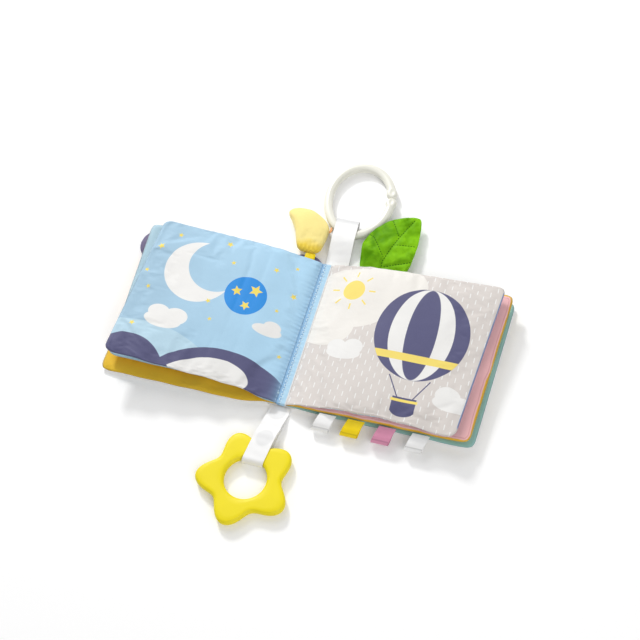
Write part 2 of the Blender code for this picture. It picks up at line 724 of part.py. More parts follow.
def rounded_outline(points, steps=2):
    """A closed outline through the points, with extra points on a smooth curve between them."""
    made = []
    count = len(points)
    for k in range(count):
        a, b, c, d = (points[(k + shift) % count] for shift in (-1, 0, 1, 2))
        for step in range(steps):
            t = step / steps
            made.append(tuple(curve_value(a[axis], b[axis], c[axis], d[axis], t) for axis in (0, 1)))
    return made


def curve_value(a, b, c, d, t):
    """A value on the smooth curve from b to c."""
    square, cube = t * t, t * t * t
    return 0.5 * (2.0 * b + (c - a) * t + (2.0 * a - 5.0 * b + 4.0 * c - d) * square
                  + (3.0 * b - a - 3.0 * c + d) * cube)


def placed_outline(shares, width, length, base):
    points = [(base[0] + width * x, base[1] + length * y) for x, y in shares]
    return rounded_outline(points)


def outline_middle(outline):
    count = len(outline)
    return sum(x for x, _ in outline) / count, sum(y for _, y in outline) / count


def stuffed_layer(name, outline, rings, loft, heights, seam, look):
    """A closed shell between two heights of a stuffed shape, which is thickest in its middle."""
    middle = outline_middle(outline)
    editor = bmesh.new()
    edges = []
    for pick in (0, 1):
        sheet = []
        for share in rings:
            thickness = seam_fill(share, loft)
            ring = []
            for x, y in outline:
                px = middle[0] + share * (x - middle[0])
                py = middle[1] + share * (y - middle[1])
                ring.append(editor.verts.new((px, py, heights(seam(px, py), thickness)[pick])))
            sheet.append(ring)
        top = heights(seam(*middle), seam_fill(0.0, loft))[pick]
        centre = editor.verts.new((middle[0], middle[1], top))
        for first, second in zip(sheet, sheet[1:]):
            join_rings(editor, first, second)
        last = sheet[-1]
        for k, point in enumerate(last):
            editor.faces.new((point, last[(k + 1) % len(last)], centre))
        edges.append(sheet[0])
    join_rings(editor, edges[0], edges[1])
    return finished(name, editor, look)


def seam_fill(share, loft):
    """Thickness of a stuffed shape at a share of the way from its middle to its edge."""
    return SEAM_THICKNESS + (loft - SEAM_THICKNESS) * math.sqrt(1.0 - share ** 2.5)


def upper_shell(height, thickness):
    top = height + 0.5 * thickness
    return top - FABRIC_THICKNESS, top


def lower_shell(height, thickness):
    bottom = height - 0.5 * thickness
    return bottom, bottom + FABRIC_THICKNESS


def stuffing(height, thickness):
    inside = 0.5 * thickness - FABRIC_THICKNESS - GAP
    return height - inside, height + inside


def film_layer(height, thickness):
    return height - 0.5 * FILM_THICKNESS, height + 0.5 * FILM_THICKNESS


def leaf_flap():
    """The green leaf: two panels with a crinkle film between them, lying over the carrier ring."""
    base = (FLAP_BASE_X, SEAM_LINE + GAP)
    outline = placed_outline(FLAP_OUTLINE_SHARES, FLAP_WIDTH, FLAP_LENGTH, base)
    seat = seam_at(LEAVES[3], FLAP_BASE_X, 1.0)
    rise = RING_TOP + FLAP_RING_CLEARANCE + 0.5 * FLAP_LOFT - seat

    def seam(x, y):
        climbed = rise * smooth_step((y - base[1]) / FLAP_RISE_LENGTH)
        beyond = max(x - FLAP_BASE_X, 0.0) / (0.5 * FLAP_WIDTH)
        reach = (y - base[1]) / FLAP_LENGTH
        return seat + climbed - FLAP_SIDE_DROOP * beyond ** 2 * smooth_step(reach)

    layers = (
        ("leaf_flap_front_panel", FLAP_RING_SHARES, upper_shell),
        ("leaf_flap_back_panel", FLAP_RING_SHARES, lower_shell),
        ("leaf_flap_crinkle_film", FLAP_RING_SHARES[2:], film_layer),
    )
    return [
        stuffed_layer(name, outline, rings, FLAP_LOFT, heights, seam, LEAF_GREEN)
        for name, rings, heights in layers
    ]


def charm():
    """The stuffed charm with its ribbon stem and its corner tab."""
    base = (CHARM_X, STRAP_AXIS_Y + CHARM_BASE_DISTANCE)
    outline = placed_outline(CHARM_OUTLINE_SHARES, CHARM_WIDTH, CHARM_LENGTH, base)
    seat = seam_at(LEAVES[1], CHARM_X, 1.0)
    middle = CHARM_FLOOR_GAP + 0.5 * CHARM_LOFT

    def seam(x, y):
        return middle

    layers = (
        ("charm_front_shell", CHARM_RING_SHARES, upper_shell, CHARM_YELLOW),
        ("charm_back_shell", CHARM_RING_SHARES, lower_shell, CHARM_YELLOW),
        ("charm_stuffing", CHARM_RING_SHARES[2:], stuffing, WADDING_WHITE),
    )
    made = [
        stuffed_layer(name, outline, rings, CHARM_LOFT, heights, seam, look)
        for name, rings, heights, look in layers
    ]
    stem_end = min(y for _, y in outline) - GAP
    made.append(stem(seat, stem_end, middle))
    made.append(charm_tab(middle))
    return made


def stem(seat, end, middle):
    """The charm's ribbon stem, from the leaf's seam to the charm's base."""
    half, thick = 0.5 * CHARM_STEM_WIDTH, 0.5 * CHARM_STEM_THICKNESS
    editor = bmesh.new()
    rings = []
    for y, z in ((SEAM_LINE, seat), (end, middle)):
        corners = ((-half, -thick), (half, -thick), (half, thick), (-half, thick))
        rings.append([editor.verts.new((CHARM_X + x, y, z + up)) for x, up in corners])
    join_rings(editor, rings[0], rings[1])
    for ring in rings:
        editor.faces.new(ring)
    return finished("charm_stem", editor, RIBBON_YELLOW)


def charm_tab(middle):
    """A small half-round tab at the charm's edge, next to the strap."""
    centre = (CHARM_TAB_X, STRAP_AXIS_Y + CHARM_TAB_DISTANCE)
    outline = []
    for x, y in arc((0.0, 0.0), 1.0, -90.0, 90.0, 8):
        outline.append((centre[0] + CHARM_TAB_LENGTH * x, centre[1] + 0.5 * CHARM_TAB_WIDTH * y))
    return flat_plate("charm_tab", outline, middle, ORANGE)


def flat_plate(name, outline, middle, look):
    editor = bmesh.new()
    half = 0.5 * SEAM_THICKNESS
    rings = [[editor.verts.new((x, y, middle + up)) for x, y in outline] for up in (-half, half)]
    join_rings(editor, rings[0], rings[1])
    for ring in rings:
        editor.faces.new(ring)
    return finished(name, editor, look)


def ears():
    """The two padded ear tabs of the front cover, as half rounds that stand out from its seam."""
    cover = LEAVES[0]
    side_y = SIDE_EAR_HEIGHT_SHARE * LEAF_HALF_HEIGHT
    edge = -(LEAF_START + leaf_width(cover[3], SIDE_EAR_HEIGHT_SHARE)) - SEAM_ATTACHMENT_GAP
    side_height = seam_at(cover, edge, 1.0)
    side_outline = [
        (edge + SIDE_EAR_REACH * x, side_y + EAR_RADIUS * y)
        for x, y in arc((0.0, 0.0), 1.0, 90.0, 270.0, 14)
    ]
    top_height = max(seam_at(cover, TOP_EAR_X, 1.0), 0.5 * EAR_LOFT + GAP)
    top_outline = [
        (TOP_EAR_X + EAR_RADIUS * x, SEAM_LINE + TOP_EAR_REACH * y)
        for x, y in arc((0.0, 0.0), 1.0, 0.0, EAR_ARC_DEG, 14)
    ]
    return [
        ear("side_ear", side_outline, side_height),
        ear("top_ear", top_outline, top_height),
    ]


def ear(name, outline, height):
    def seam(x, y):
        return height

    def solid(middle, thickness):
        return middle - 0.5 * thickness, middle + 0.5 * thickness

    return stuffed_layer(name, outline, EAR_RING_SHARES, EAR_LOFT, solid, seam, NAVY)


# Assembly


def assemble():
    """Builds every piece and hangs each group on an empty at its joint."""
    spine()
    ear_tabs = ears()
    charm_pieces = charm()
    tag_pieces = tags()
    flap_pieces = leaf_flap()
    for description in LEAVES:
        name, side = description[0], description[1]
        pieces = leaf(description)
        hinge = joint_empty(name + "_hinge", (side * HINGE_OFFSET, 0.0, HINGE_HEIGHT))
        ride_on(hinge, pieces + (ear_tabs if description is LEAVES[0] else []))
    ride_on(joint_empty("charm_hinge", (CHARM_X, STRAP_AXIS_Y, seam_at(LEAVES[1], CHARM_X, 1.0))), charm_pieces)
    flap_axis = (FLAP_BASE_X, STRAP_AXIS_Y, seam_at(LEAVES[3], FLAP_BASE_X, 1.0))
    ride_on(joint_empty("leaf_flap_hinge", flap_axis), flap_pieces)
    for index, piece in enumerate(tag_pieces):
        ride_on(joint_empty(piece.name + "_hinge", tag_seat(index)), [piece])
    strap_axis = (CARRIER_STRAP_X, STRAP_AXIS_Y, STRAP_SEAT_HEIGHT)
    ride_on(joint_empty("carrier_strap_hinge", strap_axis), [carrier_strap()])
    ring_axis = (RING_BASE_X, RING_BASE_Y, RING_FLOOR + 0.5 * RING_TUBE_HEIGHT)
    ride_on(joint_empty("carrier_ring_swivel", ring_axis), [carrier_ring()])
    strap_axis = (TEETHER_STRAP_X, -STRAP_AXIS_Y, STRAP_SEAT_HEIGHT)
    ride_on(joint_empty("teether_strap_hinge", strap_axis), [teether_strap()])
    rim = FLOWER_CENTRE[1] + 0.5 * (FLOWER_VALLEY_RADIUS + FLOWER_HOLE_RADIUS)
    flower_axis = (FLOWER_CENTRE[0], rim, RING_FLOOR + 0.5 * FLOWER_THICKNESS)
    ride_on(joint_empty("flower_teether_swivel", flower_axis), [flower()])


clear_scene()
assemble()
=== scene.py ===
"""Looks of the crinkle cloth book: quilted leaves, sewn ribbons, split ring, teether, leaf and charm."""

import math

import bmesh
import bpy
import numpy as np
from mathutils import Matrix, Vector, noise
from mathutils.bvhtree import BVHTree
from mathutils.kdtree import KDTree

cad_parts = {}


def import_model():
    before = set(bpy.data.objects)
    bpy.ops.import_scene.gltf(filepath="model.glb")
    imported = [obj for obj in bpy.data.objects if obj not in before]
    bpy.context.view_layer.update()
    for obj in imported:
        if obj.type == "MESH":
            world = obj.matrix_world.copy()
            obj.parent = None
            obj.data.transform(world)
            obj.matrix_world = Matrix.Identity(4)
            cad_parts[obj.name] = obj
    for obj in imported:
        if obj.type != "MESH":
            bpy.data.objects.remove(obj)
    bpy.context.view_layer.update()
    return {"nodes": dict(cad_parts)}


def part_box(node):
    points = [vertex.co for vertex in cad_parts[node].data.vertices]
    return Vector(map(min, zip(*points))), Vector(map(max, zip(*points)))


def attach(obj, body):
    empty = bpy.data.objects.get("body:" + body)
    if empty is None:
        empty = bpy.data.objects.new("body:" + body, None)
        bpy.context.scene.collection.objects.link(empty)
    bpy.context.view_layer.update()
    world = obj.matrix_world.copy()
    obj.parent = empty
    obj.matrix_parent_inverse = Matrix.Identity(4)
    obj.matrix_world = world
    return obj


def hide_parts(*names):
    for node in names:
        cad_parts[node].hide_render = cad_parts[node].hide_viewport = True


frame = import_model()
MM = 0.001
PAGE_MM = 100.0

# Camera: where it looks from, in degrees and metres, and its focal length in photograph pixels
PHOTO_PIXELS = 640.0
SENSOR_WIDTH = 36.0
FOCAL_PIXELS = 1105.77
CAMERA_ELEVATION = 58.51
CAMERA_AZIMUTH = 22.94
CAMERA_ROLL = -8.0
CAMERA_DISTANCE = 0.81501
CAMERA_TARGET = (0.00674, 0.01470, 0.0)

# Light: each lamp's name, place, size and power, and the strength of the plain white round the book
LAMPS = (
    ("key", (-0.55, 0.75, 1.15), 0.75, 4.5),
    ("fill", (0.9, -0.8, 1.0), 1.2, 8.0),
    ("low_key", (-0.74, 1.00, 0.78), 0.22, 12.5),
)
WORLD_STRENGTH = 0.35
FLOOR_GLOW = 0.11
FLOOR_HALF = 3.0
FLOOR_Z = -0.3 * MM
FLOOR_ROUGHNESS = 0.9
DIRECT_RAYS = ("Is Camera Ray", "Is Glossy Ray", "Is Transmission Ray")

# Leaves: body, level in the stack, and the columns and rows of the cloth's grid
LEAVES = (
    ("front_cover_leaf", 0, 34, 32),
    ("left_middle_leaf", 1, 34, 32),
    ("left_top_leaf", 2, 66, 112),
    ("back_cover_leaf", 0, 34, 32),
    ("right_middle_leaf", 1, 34, 32),
    ("right_top_leaf", 2, 66, 112),
)
LEAF_NODE_ENDINGS = ("_upper_panel", "_lower_panel", "_crinkle_film", "_wadding")
TOP_LEVEL = 2
LOWER_EDGE_BOWS = {"right_top_leaf": -1.5 * MM}
LOWER_CORNER_REACH = {"right_top_leaf": 1.6 * MM}
GATHER_SHARES = {"right_top_leaf": 0.35}
HINGE_X = 3.0 * MM
HINGE_Z = 3.45 * MM
HINGE_LEVEL_STEP = 0.30 * MM
ROOT_SLOPE = 0.65
ROOT_CURVE = 0.07
RIM_CREASE = 0.85
CORNER_RADIUS = 6.0 * MM
CORNER_SHARE = 0.9
CORNER_PLACE = 45.0 * MM
OVERHANG_START = 10.4 * MM
OVERHANG_TAPER = 25.0 * MM
OVERHANG_PLACE = 60.0 * MM
GRID_CROWDING = 0.35
ROOT_INSET = 0.3 * MM
PANEL_INSET = 0.8 * MM
LEAST_HEIGHT = 0.12 * MM
HEIGHT_PASSES = 6

# Cloth: how the simulated shape is taken over, and the puckers, gathers and swells laid on it
CLOTH_FRAMES = 18
CLOTH_EXCESS = 0.035
CHARM_EXCESS = 0.010
CLOTH_SETTINGS = {
    "quality": 6,
    "mass": 0.15,
    "tension_stiffness": 12.0,
    "compression_stiffness": 12.0,
    "shear_stiffness": 4.0,
    "bending_stiffness": 0.08,
    "tension_damping": 8.0,
    "compression_damping": 8.0,
    "shear_damping": 6.0,
    "air_damping": 4.0,
    "use_pressure": True,
    "uniform_pressure_force": 1.2,
    "vertex_group_mass": "seam",
}
MOST_RISE = 0.45 * MM
MOST_FALL = 0.9 * MM
MOST_SLIDE = 0.5 * MM
SETTLE_SHARE = 0.7
SEAM_REACH = 8.0 * MM
LEAST_FILL_SHARE = 0.55
PUCKER_HEIGHT = 0.46 * MM
PUCKER_PITCH = 4.6 * MM
PUCKER_REACH = 4.6 * MM
RIPPLE_SHARE = 0.45
RIPPLE_REACH = 0.8 * PUCKER_REACH
SEAM_WIDTH = 1.5 * MM
SPINE_SEAM_WIDTH = 1.6 * MM
SWELL_HEIGHT = 0.9 * MM
SWELL_SCALE = 34.0
SWELL_START = 6.0 * MM
EDGE_WAVE_HEIGHT = 0.9 * MM
EDGE_WAVE_PITCH = 27.0 * MM
EDGE_WAVE_REACH = 14.0 * MM
EDGE_WAVE_START = 20.0 * MM

# Spine, in millimetres
SPINE_BODY = "spine"
COVER_HALF = 9.9
COVER_END = 60.4
BINDING_HALF = 3.6
BINDING_END = 60.6
BINDING_RIPPLE = 0.10
BINDING_RIPPLE_PITCH = 3.3
ZIGZAG_TEETH = 64
ZIGZAG_END = 59.6
ZIGZAG_SIDES = (-1.9, -0.5)
THREAD_RADIUS = 0.28
THREAD_SIDES = 6

# Ribbons, in millimetres, as the frame has them
RIBBON_COLUMNS = 10
RIBBON_THICKNESS = 0.40
LAYER_SPACING = 0.70
SEWN_END = 0.15
SEWN_START = 1.3
TAIL_LENGTH = 2.60
STRAP_SEAT_Z = 0.70
GROUND_GAP = 0.1
HELD_GAP = 0.3
STRAP_STEPS = 40
STRAP_ARC_STEPS = 14
TAG_STEPS = 12
TAG_WIDTH = 11.8
TAG_LENGTH = 11.80
TAG_END_HEIGHT = 4.60
TAG_DROOP = 3.60
TAG_LEAN = 17.0
TAG_LIP = 3.40
TAG_SEAT_Y = -61.95
TAG_SEATS = (
    ("tag_white_inner", 35.3, 7.391),
    ("tag_yellow", 55.8, 8.404),
    ("tag_mauve", 78.0, 8.617),
    ("tag_white_outer", 101.4, 8.878),
)

# Stitched veins of the leaf flap, in millimetres in plan
VEINS = (
    ((39.8, 62.0), (39.4, 72.0)),
    ((39.4, 72.0), (55.2, 112.6)),
    ((39.4, 75.4), (28.6, 90.2)),
    ((28.6, 90.2), (23.9, 91.9)),
    ((46.9, 94.0), (38.6, 108.4)),
    ((45.6, 86.0), (61.3, 89.0)),
    ((41.2, 68.2), (60.9, 75.4)),
)
VEIN_DEPTH = 0.95
VEIN_HALF_WIDTH = 0.42
VEIN_STITCH_PITCH = 2.1

# Prints, in page millimetres: ellipses as centre and half sizes, stars as centre, radius and turn
PALE_HILL = (104.0, -14.0, 64.0, 46.0)
NAVY_HILLS = (
    (40.0, -24.0, 62.0, 50.0),
    (112.0, -20.0, 34.0, 40.0),
)
SNOWY_HILL = (40.0, -24.0, 54.0, 42.0)
SNOW_PATCH = (52.0, 6.0, 30.0, 13.0)
SKY_CLOUDS = (
    (96.0, 36.0, 14.0, 6.5),
    (88.0, 41.0, 9.0, 7.0),
    (101.0, 42.0, 8.0, 6.0),
    (22.0, 50.0, 11.0, 4.5),
    (19.0, 53.5, 6.5, 5.0),
)
MOON = (84.0, 82.0, 26.0, 26.0)
MOON_HOLLOW = (72.0, 90.0, 22.0, 22.0)
BALL = (45.0, 72.0, 16.0, 16.0)
BALL_STARS = (
    (39.0, 78.0, 5.6, 14.0),
    (52.5, 74.0, 4.6, -20.0),
    (43.0, 64.0, 4.2, 30.0),
)
SKY_STARS = (
    (108.0, 110.0, 2.4), (118.0, 96.0, 3.2), (122.0, 74.0, 2.2), (116.0, 60.0, 2.2), (70.0, 112.0, 3.0),
    (62.0, 96.0, 2.3), (30.0, 100.0, 2.6), (16.0, 108.0, 2.0), (12.0, 84.0, 3.0), (20.0, 68.0, 2.0),
    (70.0, 60.0, 2.4), (8.0, 34.0, 2.2), (64.0, 46.0, 2.0), (116.0, 28.0, 2.6),
)
SKY_STAR_TURN = 40.0
GREY_PAGE_GLOWS = (
    (24.0, 92.0, 34.0, 26.0),
    (52.0, 104.0, 26.0, 22.0),
    (12.0, 66.0, 20.0, 16.0),
)
GREY_PAGE_CLOUDS = (
    (30.0, 46.0, 13.0, 5.5),
    (24.0, 50.0, 7.0, 6.0),
    (36.0, 51.0, 7.5, 6.5),
    (116.0, 22.0, 16.0, 6.5),
    (110.0, 27.0, 9.0, 7.0),
)
SUN = (24.0, 98.0, 8.5, 8.5)
SUN_RAYS = 8
SUN_RAY_DISTANCE = 14.0
SUN_RAY_HALVES = (2.6, 0.7)
BALLOON = (82.0, 70.0, 34.0, 37.0)
BALLOON_STRIPE = (82.0, 70.0, 23.0, 37.0)
BALLOON_MIDDLE = (82.0, 70.0, 11.0, 37.0)
BALLOON_BAND = (82.0, 50.0, 40.0, 3.0)
ROPES = (
    (72.0, 27.0, 9.0, 0.5, -60.0),
    (92.0, 27.0, 9.0, 0.5, 60.0),
)
BASKET = (82.0, 14.0, 8.5, 5.5)
BASKET_FOOT = (82.0, 9.5, 8.5, 4.0)
BASKET_RIM = (82.0, 17.0, 9.5, 1.1)
BACKING_EDGE = (120.0, 61.0, 40.0, 56.0)
HIDDEN_PAGE_STARS = (
    (28.0, 84.0, 11.0), (66.0, 40.0, 14.0), (104.0, 88.0, 10.0),
    (98.0, 26.0, 6.0), (24.0, 30.0, 7.0), (66.0, 100.0, 5.0),
)
HIDDEN_STAR_TURN = 17.0
STAR_VALLEY = 0.46
DASH_PITCH = (4.6, 9.0)
DASH_LENGTH = 4.2
DASH_WIDTH = 0.75
DOT_PITCH = 11.0
DOT_RADIUS = 1.7
GATHER_REACH = 2.2
GATHER_PITCH = 3.3
STITCH_LINE = (1.5, 60.0, 0.35, 70.0)
STITCH_PITCH = 2.4
RIM_WIDTH = 1.6
RIM_WAVE = 2.2
RIM_FOLD = 1.1

# Surfaces: rows of noise scale, detail, distortion, depth in metres and strength
THREAD_PITCH = 0.42 * MM
WOVEN_GRAIN = ((900.0, 3.0, 0.0, 0.05 * MM, 0.5), (120.0, 3.0, 0.6, 0.45 * MM, 0.55))
SATIN_GRAIN = ((90.0, 2.0, 0.0, 0.5 * MM, 0.3),)
FLEECE_GRAIN = ((1500.0, 4.0, 0.0, 0.4 * MM, 0.6), (260.0, 3.0, 0.0, 0.7 * MM, 0.5))
PAGE_ROUGHNESS = 0.62
CLOTH_ROUGHNESS = 0.65
CLOTH_SHEEN = 0.25

# Colours, as sRGB from the photograph
WHITE = (1.0, 1.0, 1.0, 1.0)
FLOOR_WHITE = (0.985, 0.985, 0.985)
SKY = (0.675, 0.815, 0.900)
NEAR_SKY = (0.705, 0.860, 0.960)
# Painted shade: the darker sky towards the outer edge of the left page
FAR_SKY_SHADE = (0.635, 0.765, 0.850)
PALE_SKY = (0.735, 0.855, 0.920)
PALE_TEAL = (0.700, 0.820, 0.875)
MUSTARD = (0.905, 0.740, 0.180)
WARM_GREY = (0.865, 0.838, 0.818)
CREAM = (0.940, 0.925, 0.900)
OFF_WHITE = (0.945, 0.940, 0.930)
NAVY = (0.335, 0.335, 0.480)
BRIGHT_BLUE = (0.155, 0.560, 0.880)
STAR_YELLOW = (0.960, 0.870, 0.400)
SUN_YELLOW = (0.975, 0.880, 0.450)
MUSTARD_RIM = (0.930, 0.720, 0.200)
PINK = (0.985, 0.765, 0.770)
# Painted shade along the fold inside a page's rolled edge
FOLD_SHADE_RED = (0.700, 0.400, 0.400)
BACKING_BLUE = (0.520, 0.600, 0.780)
TEAL = (0.590, 0.775, 0.755)
BINDING_BLUE = (0.690, 0.855, 0.960)
THREAD_BLUE = (0.870, 0.950, 0.990)
# Painted shade in the crease by the spine seam
SEAM_SHADE_BLUE = (0.560, 0.730, 0.870)
SATIN_WHITE = (0.990, 0.988, 0.985)
# Grey for the pale prints on the straps, and for the painted shade over a strap's turn
PRINT_AND_SHADE_GREY = (0.870, 0.872, 0.875)
RIBBON_YELLOW = (1.000, 0.870, 0.020)
RIBBON_MAUVE = (0.890, 0.590, 0.710)
EAR_MAUVE = (0.420, 0.390, 0.530)
IVORY = (0.935, 0.930, 0.885)
FLOWER_YELLOW = (0.965, 0.890, 0.010)
LEAF_GREEN = (0.560, 0.825, 0.110)
LEAF_SHADE = (0.350, 0.590, 0.015)
VEIN_GREEN = (0.110, 0.300, 0.020)
CHARM_YELLOW = (1.000, 0.925, 0.590)
CHARM_BASE = (1.000, 0.870, 0.310)
ORANGE = (0.955, 0.690, 0.450)


# Node helpers


def linear(colour):
    """An sRGB colour as the linear values that Blender's sockets take."""
    values = [c / 12.92 if c <= 0.04045 else ((c + 0.055) / 1.055) ** 2.4 for c in colour]
    return (*values, 1.0)


class Value:
    """A number that the nodes work out at each place, with ordinary arithmetic."""

    def __init__(self, nodes, socket):
        self.nodes = nodes
        self.socket = socket

    def __add__(self, other):
        return self.nodes.math("ADD", self, other)

    def __sub__(self, other):
        return self.nodes.math("SUBTRACT", self, other)

    def __rsub__(self, other):
        return self.nodes.math("SUBTRACT", other, self)

    def __mul__(self, other):
        return self.nodes.math("MULTIPLY", self, other)

    def __truediv__(self, other):
        return self.nodes.math("DIVIDE", self, other)

    def __abs__(self):
        return self.nodes.math("ABSOLUTE", self)

    def to(self, operation, *values):
        """The result of one of Blender's operations on this value."""
        return self.nodes.math(operation, self, *values)

    def wave(self, pitch):
        """A sine wave with the given pitch along this value."""
        return (self * (2.0 * math.pi / pitch)).to("SINE")

    def held(self):
        """The value held between 0 and 1."""
        return self.nodes.math("ADD", self, 0.0, clamp=True)

    def from_middle(self, pitch):
        """How far the value is from the middle of its period, as a share of the period."""
        return abs((self / pitch).to("FRACT") - 0.5)

    def odd(self, pitch):
        """1 in each second period and 0 in the others."""
        return (self / pitch).to("FLOOR").to("FLOORED_MODULO", 2.0)


class Nodes:
    """The node tree of a material or of the world."""

    def __init__(self, node_tree):
        self.nodes = node_tree.nodes
        self.links = node_tree.links

    def put(self, socket, value):
        source = value.socket if isinstance(value, Value) else value
        if isinstance(source, bpy.types.NodeSocket):
            self.links.new(source, socket)
        else:
            socket.default_value = source

    def math(self, operation, *values, clamp=False):
        node = self.nodes.new("ShaderNodeMath")
        node.operation = operation
        node.use_clamp = clamp
        for socket, value in zip(node.inputs, values):
            self.put(socket, value)
        return Value(self, node.outputs[0])

    def either(self, *masks):
        result = masks[0]
        for mask in masks[1:]:
            result = result.to("MAXIMUM", mask)
        return result

    def seen_directly(self):
        """1 for the rays that show a background itself: seen, mirrored or seen through a clear piece."""
        path = self.nodes.new("ShaderNodeLightPath")
        return self.either(*[Value(self, path.outputs[name]) for name in DIRECT_RAYS])


class Look(Nodes):
    """A material, painted mask by mask over a base colour; x and y are page coordinates in millimetres."""

    def __init__(self, name, base, roughness, sheen=0.0, specular=0.3):
        self.material = bpy.data.materials.new(name)
        self.material.use_nodes = True
        super().__init__(self.material.node_tree)
        self.painted = base
        self.shader = self.nodes["Principled BSDF"]
        self.set_shader({
            "Roughness": roughness,
            "Sheen Weight": sheen,
            "Sheen Roughness": 0.5,
            "Specular IOR Level": specular,
        })
        uv = self.nodes.new("ShaderNodeUVMap")
        uv.uv_map = "page"
        across, along = self.split(uv.outputs[0])
        self.x = across * PAGE_MM
        self.y = along * PAGE_MM

    def set_shader(self, values):
        for name, value in values.items():
            self.put(self.shader.inputs[name], value)

    def split(self, vector):
        """The first two values of a vector."""
        node = self.nodes.new("ShaderNodeSeparateXYZ")
        self.links.new(vector, node.inputs[0])
        return Value(self, node.outputs[0]), Value(self, node.outputs[1])

    def place(self):
        """The piece's own coordinates in metres."""
        return self.nodes.new("ShaderNodeTexCoord").outputs["Object"]

    def inward(self):
        """Distance of a place on a leaf from its outer, upper or lower edge, in millimetres."""
        node = self.nodes.new("ShaderNodeAttribute")
        node.attribute_name = "inward"
        return Value(self, node.outputs["Fac"])

    def noise(self, scale, detail, distortion=0.0):
        node = self.nodes.new("ShaderNodeTexNoise")
        self.links.new(self.place(), node.inputs["Vector"])
        node.inputs["Scale"].default_value = scale
        node.inputs["Detail"].default_value = detail
        node.inputs["Distortion"].default_value = distortion
        return Value(self, node.outputs["Fac"])

    def bump(self, height, distance, strength):
        """Adds relief to the surface, on top of the relief it has."""
        node = self.nodes.new("ShaderNodeBump")
        node.inputs["Distance"].default_value = distance
        node.inputs["Strength"].default_value = strength
        self.put(node.inputs["Height"], height)
        before = self.shader.inputs["Normal"].links
        if before:
            self.links.new(before[0].from_socket, node.inputs["Normal"])
        self.links.new(node.outputs[0], self.shader.inputs["Normal"])

    def grain(self, rows):
        """Adds the relief that a table of noise describes."""
        for scale, detail, distortion, depth, strength in rows:
            self.bump(self.noise(scale, detail, distortion), depth, strength)

    def colour(self, value):
        return value if isinstance(value, bpy.types.NodeSocket) else linear(value)

    def paint(self, mask, colour):
        """Lays a colour over what is painted, as far as the mask says."""
        node = self.nodes.new("ShaderNodeMix")
        node.data_type = "RGBA"
        self.put(node.inputs["Factor"], mask)
        self.put(node.inputs["A"], self.colour(self.painted))
        self.put(node.inputs["B"], self.colour(colour))
        self.painted = node.outputs["Result"]

    def tinted(self):
        """The finished material, its colour faintly uneven as on dyed and printed cloth."""
        tint = self.nodes.new("ShaderNodeHueSaturation")
        self.put(tint.inputs["Color"], self.colour(self.painted))
        self.put(tint.inputs["Value"], self.noise(60.0, 3.0) * 0.10 + 0.95)
        self.links.new(tint.outputs[0], self.shader.inputs["Base Color"])
        return self.material

    def woven(self):
        """The finished material with the crossing threads and soft mottling of woven cloth."""
        across, along = self.split(self.place())
        self.bump(across.wave(THREAD_PITCH) * along.wave(THREAD_PITCH), 0.03 * MM, 0.35)
        self.grain(WOVEN_GRAIN)
        return self.tinted()

    # Masks: each is 1 inside a shape and 0 outside, with a narrow soft edge

    def ellipses(self, *rows, soft=0.25):
        masks = []
        for centre_x, centre_y, half_width, half_height in rows:
            across = (self.x - centre_x) / half_width
            along = (self.y - centre_y) / half_height
            steep = min(half_width, half_height) / (2.0 * soft)
            masks.append(((1.0 - across * across - along * along) * steep).held())
        return self.either(*masks)

    def bar(self, centre_x, centre_y, half_length, half_width, angle=0.0, soft=0.2):
        turn = math.radians(angle)
        x, y = self.x - centre_x, self.y - centre_y
        ends = half_length - abs(y * math.sin(turn) + x * math.cos(turn))
        sides = half_width - abs(y * math.cos(turn) - x * math.sin(turn))
        return (ends.to("MINIMUM", sides) / soft).held()

    def stars(self, *rows, soft=0.2):
        """Five-pointed stars, each from the angle and distance of a place round its centre."""
        half = math.pi / 5.0
        masks = []
        for centre_x, centre_y, radius, angle in rows:
            x, y = self.x - centre_x, self.y - centre_y
            valley = radius * STAR_VALLEY
            side = Vector((radius * math.sin(half), valley - radius * math.cos(half))).normalized()
            bearing = y.to("ARCTAN2", x) + (4.0 * math.pi - math.radians((angle + 90.0) % 72.0))
            folded = abs(bearing.to("MODULO", 2.0 * half) - half)
            far = (x * x + y * y).to("SQRT")
            lean = folded.to("SINE") * side.y + folded.to("COSINE") * side.x
            masks.append(((side.x * valley - far * lean) / soft).held())
        return self.either(*masks)

    def dashes(self, pitch, length, width, shift):
        """Short upright dashes in columns, with each second column moved along by a shift."""
        across = self.x.from_middle(pitch[0])
        along = (self.x.odd(pitch[0]) * shift + self.y).from_middle(pitch[1])
        sides = (0.5 * width - across * pitch[0]) / 0.15
        ends = (0.5 * length - along * pitch[1]) / 0.25
        return (sides.to("MAXIMUM", 0.0) * ends.to("MAXIMUM", 0.0)).held()

    def dots(self, pitch, radius, soft=0.2):
        """Round dots on a staggered grid."""
        across = (self.y.odd(pitch) * (0.5 * pitch) + self.x).from_middle(pitch)
        along = self.y.from_middle(pitch)
        far = (across * across + along * along).to("SQRT")
        return ((radius - far * pitch) / soft).held()

    def stitches(self, thread, gathers=0.35):
        """A row of short stitches along a page's spine edge, and the creases that their seam makes."""
        gaps = ((self.y.from_middle(STITCH_PITCH) - 0.16) * 8.0).held()
        dash = self.bar(*STITCH_LINE, soft=0.15) * gaps
        wander = self.noise(55.0, 2.0) * 9.0
        wave = (self.y * (2.0 * math.pi / GATHER_PITCH) + wander).to("SINE")
        fade = (self.x * (-1.0 / GATHER_REACH)).to("EXPONENT")
        self.bump(wave * fade, 0.6 * MM, gathers)
        self.paint(dash * 0.3, thread)


# Prints and cloths


